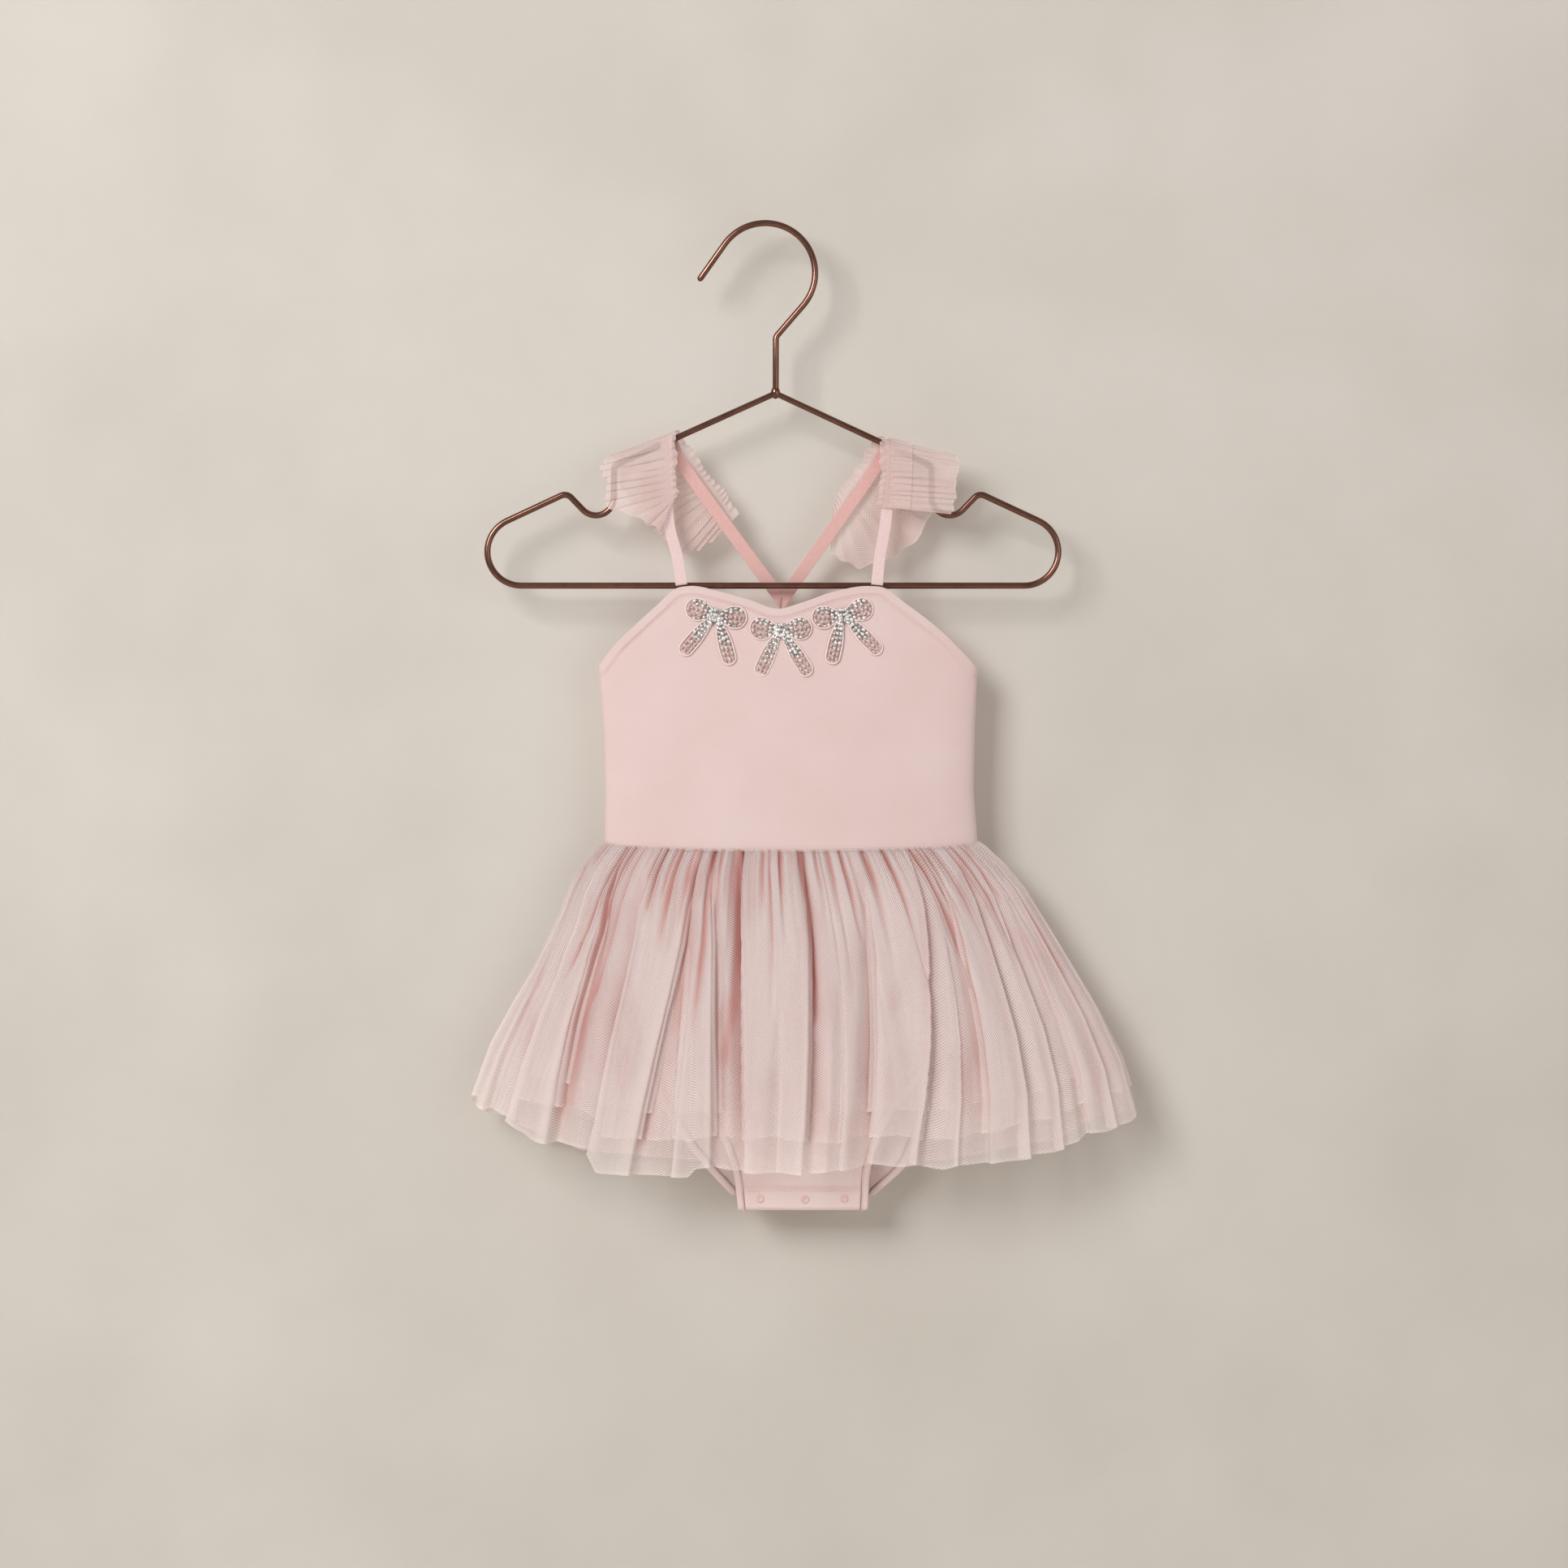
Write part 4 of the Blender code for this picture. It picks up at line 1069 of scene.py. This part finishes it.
def ruffle(name, rows, side, seed):
    """One ruffle as a single sheet; on the right shoulder a second narrow strip lies over its front."""
    rng = np.random.default_rng(seed)
    line = resampled(rows, RUFFLE_ROWS)
    stitch, edge = line[:, :3], line[:, 3:]
    along = np.gradient(stitch, axis=0)
    gone = np.concatenate([[0], np.cumsum(np.linalg.norm(np.diff(stitch, axis=0), axis=1))])
    along /= np.linalg.norm(along, axis=1, keepdims=True)
    outward = edge - stitch
    reach = np.linalg.norm(outward, axis=1, keepdims=True)
    outward /= reach
    normal = np.cross(along, outward) * -side
    normal /= np.linalg.norm(normal, axis=1, keepdims=True)
    pace = 1 + 0.45 * np.interp(gone, np.linspace(0, gone[-1], 14), rng.uniform(-1, 1, 14))
    phase = np.cumsum(pace) / np.sum(pace) * PLEATS * 2 * math.pi
    strength = np.interp(gone, np.linspace(0, gone[-1], 40), 0.2 + rng.random(40) ** 1.6)
    header = HEADER_FRONT + (HEADER_BACK - HEADER_FRONT) * np.clip(stitch[:, 1] / 5, 0, 1)
    crown = 1 - 0.6 * np.exp(-(stitch[:, 1] / 3) ** 2)
    uneven = np.interp(gone, np.linspace(0, gone[-1], 40), rng.uniform(-1.9, 1.3, 40))
    beads = gone / HEADER_PITCH * 2 * math.pi + 1.6 * np.sin(gone / 7) + 1.1 * np.sin(gone / 2.9)
    tall = np.interp(gone, np.linspace(0, gone[-1], 26), rng.uniform(0.72, 1.06, 26))
    shares = np.concatenate([np.linspace(-1, 0, 13)[:-1], np.linspace(0, 1, 26)])
    points, folds, edges = [], [], []
    step = gone[-1] / PLEATS
    for index in range(RUFFLE_ROWS):
        puff = math.sin(beads[index] / 2) ** 2
        for share in shares:
            if share < 0:
                far = share * header[index] * tall[index] * (0.92 + 0.1 * puff)
                frill = min(1.0, max(0.0, (-share - 0.4) / 0.3))
                lift = (1.0 * puff * frill + 0.3) * crown[index]
                slide = 0.0
                # Painted shade between the puffs of the header frill.
                fold_shade = (1.0 - puff) * frill * 0.45
            else:
                grow = min(1.0, share * 2.2) ** 0.7
                far = share * (reach[index, 0] + uneven[index] * share)
                around = phase[index] + 0.6 * math.sin(share * 4 + phase[index] * 0.13)
                wave = abs(math.sin(around / 2)) ** 0.7
                lift = 1.9 * strength[index] * (wave - 0.6) * grow * crown[index] + 0.25 * puff * (1 - grow)
                slide = 0.3 * step * strength[index] * math.sin(phase[index]) * grow * side
                # Painted shade in the troughs of the pleats.
                fold_shade = (1 - wave) ** 2 * strength[index] * (1.2 - 0.7 * share)
            points.append(stitch[index] + outward[index] * far + normal[index] * lift + along[index] * slide)
            folds.append(fold_shade)
            edges.append(1.0 if share in (-1.0, 1.0) else 0.0)
    columns = len(shares)
    faces = grid_faces(RUFFLE_ROWS, columns)
    us = [gone[index] * 2 for index in range(RUFFLE_ROWS) for _ in shares]
    vs = [share * (header[index] if share < 0 else reach[index, 0])
          for index in range(RUFFLE_ROWS) for share in shares]
    if side > 0:
        narrow = [column for column, share in enumerate(shares) if share >= 0]
        front = int(RUFFLE_ROWS * 0.42)
        base = len(points)
        for index in range(front):
            for column in narrow:
                here = index * columns + column
                share = shares[column] * DOUBLED / reach[index, 0]
                at = np.interp(share, shares, range(columns))
                low = index * columns + int(at)
                after = points[min(low + 1, base - 1)]
                mixed = np.array(points[low]) * (1 - at % 1) + np.array(after) * (at % 1)
                points.append(mixed + normal[index] * (0.7 + 0.25 * math.sin(phase[index] * 1.3)))
                folds.append(folds[here] * 0.4)
                edges.append(1.0 if column == narrow[-1] else 0.0)
                us.append(gone[index] * 2)
                vs.append(shares[column] * DOUBLED)
        faces += [tuple(base + corner for corner in face) for face in grid_faces(front, len(narrow))]
    if side < 0:
        faces = [face[::-1] for face in faces]
    made = mesh_piece(name + "_net", points, faces, ruffle_net)
    flat_map(made, us, vs)
    mark(made, "fold_shade", folds)
    mark(made, "lip_highlight_and_doubling", np.zeros(len(points)))
    mark(made, "edge", edges)
    fit(made, "tulle", name)


ruffle_net = net("ruffle_net", RUFFLE_NET, RUFFLE_SHADE, 0.5, 0.86)
ruffle("ruffle_left", RUFFLES["ruffle_left"], -1, 5)
ruffle("ruffle_right", RUFFLES["ruffle_right"], 1, 8)


# Bows. Each applique is a bow worked in beads on the front panel and edged with fine cord: silver seed beads
# fill the knot, the roots of the loops and the upper tails, and clear ones the loops and the tail ends.
SILVER_BEAD = 1.08
CLEAR_BEAD = 0.86
CORD = 0.42
# Name, x and z of the knot, tilt in degrees and how far the tails' ends lie to the right.
BOWS = (
    ("bow_left", -26.2, -206.5, -12.0, 0.0),
    ("bow_middle", 8.2, -214.5, 0.0, 1.6),
    ("bow_right", 41.0, -206.5, 12.0, 1.8),
)
# Right half of the bow about its knot: the loop and the tail as closed lines, x and z.
LOOP = ((1.6, 1.6), (4.6, 4.6), (8.6, 6.7), (12.8, 6.6), (15.6, 3.9), (16.2, 0.4), (14.4, -3.2), (10.6, -4.8),
        (6.2, -3.7), (2.2, -1.2))
TAIL_ROOT = (1.6, -1.6)
TAIL_END = (12.2, -21.6)
TAIL_HALF = 3.7


def line_mesh(name, lines):
    """Mesh of edges only, one chain for each line of points in millimetres."""
    points, edges = [], []
    for line in lines:
        edges += [(len(points) + step, len(points) + step + 1) for step in range(len(line) - 1)]
        points += [tuple(float(c) * MM for c in point) for point in line]
    mesh = bpy.data.meshes.new(name)
    mesh.from_pydata(points, edges, [])
    made = bpy.data.objects.new(name, mesh)
    bpy.context.scene.collection.objects.link(made)
    return made


def grown(piece, tree, **values):
    """Runs a tree on a piece with its named inputs, and leaves the plain mesh that comes out."""
    modifier = piece.modifiers.new("grown", "NODES")
    modifier.node_group = tree
    for item in tree.interface.items_tree:
        if item.in_out == "INPUT" and item.name in values:
            modifier[item.identifier] = values[item.name]
    piece.update_tag()
    ready = piece.evaluated_get(bpy.context.evaluated_depsgraph_get())
    mesh = bpy.data.meshes.new_from_object(ready)
    piece.modifiers.remove(modifier)
    old = piece.data
    piece.data = mesh
    bpy.data.meshes.remove(old)
    return piece


def new_tree(name, inputs):
    """Geometry tree with lines in, named inputs and a mesh out, a way to add nodes and one to end it."""
    tree = bpy.data.node_groups.new(name, "GeometryNodeTree")
    tree.interface.new_socket("Lines", in_out="INPUT", socket_type="NodeSocketGeometry")
    for label, kind in inputs.items():
        tree.interface.new_socket(label, in_out="INPUT", socket_type=kind)
    tree.interface.new_socket("Mesh", in_out="OUTPUT", socket_type="NodeSocketGeometry")

    def add(kind, settings, sockets):
        made = tree.nodes.new(kind)
        for setting, value in settings.items():
            setattr(made, setting, value)
        for socket, value in sockets.items():
            if isinstance(value, bpy.types.NodeSocket):
                tree.links.new(value, made.inputs[socket])
            else:
                made.inputs[socket].default_value = value
        return made

    def end(shape, material):
        real = add("GeometryNodeRealizeInstances", {}, {"Geometry": shape})
        smooth = add("GeometryNodeSetShadeSmooth", {}, {"Geometry": real.outputs[0]})
        painted = add("GeometryNodeSetMaterial", {}, {"Geometry": smooth.outputs[0], "Material": material})
        add("NodeGroupOutput", {}, {"Mesh": painted.outputs[0]})

    return tree, add, end


beading, add, end = new_tree("beading", {
    "Radius": "NodeSocketFloat", "Length": "NodeSocketFloat", "Spacing": "NodeSocketFloat",
    "Unevenness": "NodeSocketFloat", "Material": "NodeSocketMaterial"})
given = add("NodeGroupInput", {}, {}).outputs
curve = add("GeometryNodeMeshToCurve", {}, {"Mesh": given["Lines"]})
spaced = add("GeometryNodeResampleCurve", {"mode": "LENGTH"},
             {"Curve": curve.outputs[0], "Length": given["Spacing"]})
bead = add("GeometryNodeMeshUVSphere", {}, {"Segments": 8, "Rings": 6, "Radius": given["Radius"]})
stretch = add("ShaderNodeCombineXYZ", {}, {"X": 1.0, "Y": 1.0, "Z": given["Length"]})
long_bead = add("GeometryNodeTransform", {}, {"Geometry": bead.outputs[0], "Scale": stretch.outputs[0]})
heading = add("GeometryNodeInputTangent", {}, {})
turned = add("FunctionNodeAlignRotationToVector", {"axis": "Z"}, {"Vector": heading.outputs[0]})
least = add("ShaderNodeMath", {"operation": "SUBTRACT"}, {0: 1.0, 1: given["Unevenness"]})
most = add("ShaderNodeMath", {"operation": "ADD"}, {0: 1.0, 1: given["Unevenness"]})
sizes = add("FunctionNodeRandomValue", {"data_type": "FLOAT"},
            {"Seed": 4, 2: least.outputs[0], 3: most.outputs[0]})
placed = add("GeometryNodeInstanceOnPoints", {}, {
    "Points": spaced.outputs[0], "Instance": long_bead.outputs[0], "Rotation": turned.outputs[0],
    "Scale": sizes.outputs[1]})
end(placed.outputs[0], given["Material"])

cording, add, end = new_tree("cording", {
    "Radius": "NodeSocketFloat", "Sides": "NodeSocketInt", "Material": "NodeSocketMaterial"})
given = add("NodeGroupInput", {}, {}).outputs
curve = add("GeometryNodeMeshToCurve", {}, {"Mesh": given["Lines"]})
round_section = add("GeometryNodeCurvePrimitiveCircle", {},
                    {"Resolution": given["Sides"], "Radius": given["Radius"]})
tube = add("GeometryNodeCurveToMesh", {}, {
    "Curve": curve.outputs[0], "Profile Curve": round_section.outputs[0], "Fill Caps": True})
end(tube.outputs[0], given["Material"])

silver = Finish("silver_bead", Metallic=0.55, Coat_Weight=0.6, Coat_Roughness=0.06)
silver.paint(silver.noise(1.6, 2.0).between(0.36, 0.6), (172, 166, 162), (255, 252, 250),
             0.14 + silver.noise(0.8, 2.0) * 0.2)
clear = Finish("clear_bead", Transmission_Weight=0.35, IOR=1.5, Coat_Weight=0.5, Coat_Roughness=0.05)
clear.paint(clear.noise(2.0, 2.0).between(0.4, 0.62), (226, 188, 180), (250, 236, 230),
            0.08 + clear.noise(0.8, 2.0) * 0.14)
edging = Finish("bow_cord", Sheen_Weight=0.2, Sheen_Roughness=0.4)
edging.paint(edging.noise(1.0, 2.0), (232, 206, 200), (250, 234, 228), 0.6 + edging.noise(0.5, 2.0) * 0.2)


def panel_y(x, z):
    """Outer face of the bodice's front at x and z."""
    middle, half, front, back = side_sizes(BODICE, z)
    angle = math.degrees(math.acos((middle - x) / half))
    return oval(middle, half, front, back, angle)[1] - SEAM_GAP / 2


def bow(name, x, z, tilt, swing):
    """Beads and cord of one bow, laid on the panel round its knot."""
    lean = math.radians(tilt)

    def lay(line, out):
        laid = []
        for u, v in line:
            px = x + u * math.cos(lean) - v * math.sin(lean)
            pz = z + u * math.sin(lean) + v * math.cos(lean)
            laid.append((px, panel_y(px, pz) - out, pz))
        return laid

    silver_lines, clear_lines, cords = [], [], []
    for side in (-1, 1):
        loop = resampled([(u, v, 0) for u, v in LOOP], 60)[:, :2] * (side, 1)
        centre = np.array([9.2 * side, 0.9])
        cords.append(lay(loop, CORD + 0.25))
        for inset, parts in ((0.8, ((0, 22, silver_lines), (22, 44, clear_lines), (44, 60, silver_lines))),
                             (0.5, ((0, 20, silver_lines), (20, 60, clear_lines))),
                             (0.18, ((0, 60, clear_lines),))):
            ring = centre + (loop - centre) * inset
            for first, last, kept in parts:
                kept.append(lay(ring[first:last], 1.0))
        root, tip = np.array(TAIL_ROOT) * (side, 1), np.array(TAIL_END) * (side, 1) + (swing, 0)
        run = (tip - root) / np.linalg.norm(tip - root)
        beside = np.array([-run[1], run[0]])
        reach = np.linalg.norm(tip - root)
        outline = [root + beside * 1.2]
        for t in (0.3, 0.6, 0.85):
            outline.append(root + run * reach * t + beside * TAIL_HALF * min(1.0, 0.45 + t))
        for turn in np.linspace(math.pi / 2, -math.pi / 2, 11):
            outline.append(tip - run * 1.4 + (beside * math.sin(turn) + run * math.cos(turn)) * TAIL_HALF)
        for t in (0.85, 0.6, 0.3):
            outline.append(root + run * reach * t - beside * TAIL_HALF * min(1.0, 0.45 + t))
        outline.append(root - beside * 1.2)
        cords.append(lay(resampled([(*point, 0) for point in outline], 70)[:, :2], CORD + 0.25))
        for shift, first_clear in ((-2.1, 0.56), (0.0, 0.74), (2.1, 0.6)):
            row = [root + run * reach * t + beside * shift * min(1.0, 0.5 + t)
                   for t in np.linspace(0, 0.98, 30)]
            split = int(30 * first_clear)
            silver_lines.append(lay(row[:split], 1.0))
            clear_lines.append(lay(row[split:], 1.0))
    for shift in (-2.0, -0.7, 0.7, 2.0):
        silver_lines.append(lay([(shift, v) for v in np.linspace(-2.6, 2.8, 8)], 1.5))
    silver_piece = grown(line_mesh(name + "_silver", silver_lines), beading, Radius=SILVER_BEAD * MM,
                         Length=1.05, Spacing=2.3 * MM, Unevenness=0.24, Material=silver.material)
    clear_piece = grown(line_mesh(name + "_clear", clear_lines), beading, Radius=CLEAR_BEAD * MM, Length=1.4,
                        Spacing=2.55 * MM, Unevenness=0.15, Material=clear.material)
    cord_piece = grown(line_mesh(name + "_edging", cords), cording, Radius=CORD * MM, Sides=8,
                       Material=edging.material)
    fit(silver_piece, "beads", name)
    fit(clear_piece, "beads")
    fit(cord_piece, "beads")


for bow_row in BOWS:
    bow(*bow_row)


# Stitches. Polyester thread holds the turned top edges, the placket and the seams of the leg bindings.
STITCH = 2.1
STITCH_PITCH = 2.7
THREAD = 0.21
thread = Finish("sewing_thread", Sheen_Weight=0.2, Sheen_Roughness=0.3)
thread.paint(thread.noise(1.2, 2.0), (222, 190, 184), (240, 214, 208), 0.5 + thread.noise(0.4, 2.0) * 0.2)


def stitches(name, lines):
    """Rows of stitches along lines on the cloth."""
    made = grown(line_mesh(name, lines), beading, Radius=THREAD * MM, Length=STITCH / THREAD / 2,
                 Spacing=STITCH_PITCH * MM, Unevenness=0.04, Material=thread.material)
    fit(made, "knit")


def casing_line(table, back):
    """Line of stitches inside a top edge, on the panel's face."""
    xs, zs = eased(table, 300)
    along = np.gradient(np.stack([xs, zs], axis=1), axis=0)
    along /= np.linalg.norm(along, axis=1, keepdims=True)
    inner = np.stack([xs, zs], axis=1) + (CASING - 0.5) * np.stack([along[:, 1], -along[:, 0]], axis=1)
    laid = []
    for x, z in inner:
        middle, half, front, behind = side_sizes(BODICE, z)
        if abs(x - middle) < half - 1.5:
            angle = math.degrees(math.acos((middle - x) / half))
            y = oval(middle, half, front, behind, -angle if back else angle)[1]
            laid.append((x, y + 0.25 * (1 if back else -1), z))
    return laid


stitches("front_topstitch", [casing_line(FRONT_TOP, False)])
stitches("back_topstitch", [casing_line(BACK_TOP, True)])
placket_line = []
for stitch_x in np.linspace(-8.5, 48.5, 60):
    half_width = abs(stitch_x - CROTCH_MIDDLE)
    on_side = 1 if stitch_x > CROTCH_MIDDLE else -1
    stitch_y = brief_point(on_side, PLACKET_Z - 1.0, half_width, False, -0.6)[1]
    placket_line.append((stitch_x, stitch_y, PLACKET_Z - 1.0))
stitches("placket_stitch", [placket_line])
seam_lines = []
for binding_side in (-1, 1):
    for edge, back in ((LEG_FRONT, False), (LEG_BACK, True)):
        seam_lines.append([brief_point(binding_side, z, half, back, -0.35)
                           for half, z in leg_line(edge, 3.4)[2:]])
stitches("binding_stitch", seam_lines)


# Stage. A plaster wall just behind the garment and a pale floor far below. The wall is clear from behind and
# casts no shadow, so that the garment's back can be seen and the back light reaches it.
WALL_Y = 25.5
FLOOR_Z = -850.0
PLASTER = (213, 207, 199)
PLASTER_SHADE = (202, 195, 186)


def stage_plane(name, corners, material):
    made = mesh_piece(name, corners, [(0, 1, 2, 3)], material, smooth=False)
    return made


def plaster(name):
    made = Finish(name, Specular_IOR_Level=0.1)
    cloud = made.noise(190.0, 2.0) * 0.6 + made.noise(70.0, 3.0) * 0.4
    made.paint(cloud.between(0.2, 0.8), PLASTER_SHADE, PLASTER, 0.9)
    clear = made.node("ShaderNodeBsdfTransparent", {}, {})
    facing = made.node("ShaderNodeNewGeometry", {}, {})
    mixed = made.node("ShaderNodeMixShader", {}, {
        0: facing.outputs["Backfacing"], 1: made.shader.outputs[0], 2: clear.outputs[0]})
    made.links.new(mixed.outputs[0], made.nodes["Material Output"].inputs[0])
    return made.material


wall_plaster = plaster("wall_plaster")
wall = stage_plane("wall", [(-3000, WALL_Y, FLOOR_Z), (3000, WALL_Y, FLOOR_Z),
                            (3000, WALL_Y, 2500), (-3000, WALL_Y, 2500)], wall_plaster)
wall.visible_shadow = False
stage_plane("floor", [(-3000, -4000, FLOOR_Z), (3000, -4000, FLOOR_Z),
                      (3000, 3000, FLOOR_Z), (-3000, 3000, FLOOR_Z)], wall_plaster)


def soft_light(name, place, size, power, colour=(1.0, 1.0, 1.0)):
    """Square softbox that faces the middle of the garment."""
    light = bpy.data.lights.new(name, "AREA")
    light.shape = "SQUARE"
    light.size = size
    light.energy = power
    light.color = colour
    made = bpy.data.objects.new(name, light)
    made.location = place
    aim = np.array([VIEW_MIDDLE[0] * MM, 0.0, VIEW_MIDDLE[1] * MM]) - np.array(place)
    tip = math.acos(-aim[2] / np.linalg.norm(aim))
    made.rotation_euler = (tip, 0.0, math.atan2(aim[1], aim[0]) - math.pi / 2)
    bpy.context.scene.collection.objects.link(made)
    return made


soft_light("key", (-1.3, -2.1, 0.8), 1.1, 48.0)
soft_light("fill", (1.6, -2.2, -0.3), 1.8, 13.0)
soft_light("back", (1.2, 2.0, 0.4), 1.6, 28.0)

world = bpy.data.worlds.new("studio")
world.use_nodes = True
world.node_tree.nodes["Background"].inputs["Color"].default_value = (1.0, 1.0, 1.0, 1.0)
world.node_tree.nodes["Background"].inputs["Strength"].default_value = 0.33
bpy.context.scene.world = world
bpy.context.scene.view_settings.view_transform = "Standard"
bpy.context.scene.cycles.transparent_max_bounces = 40
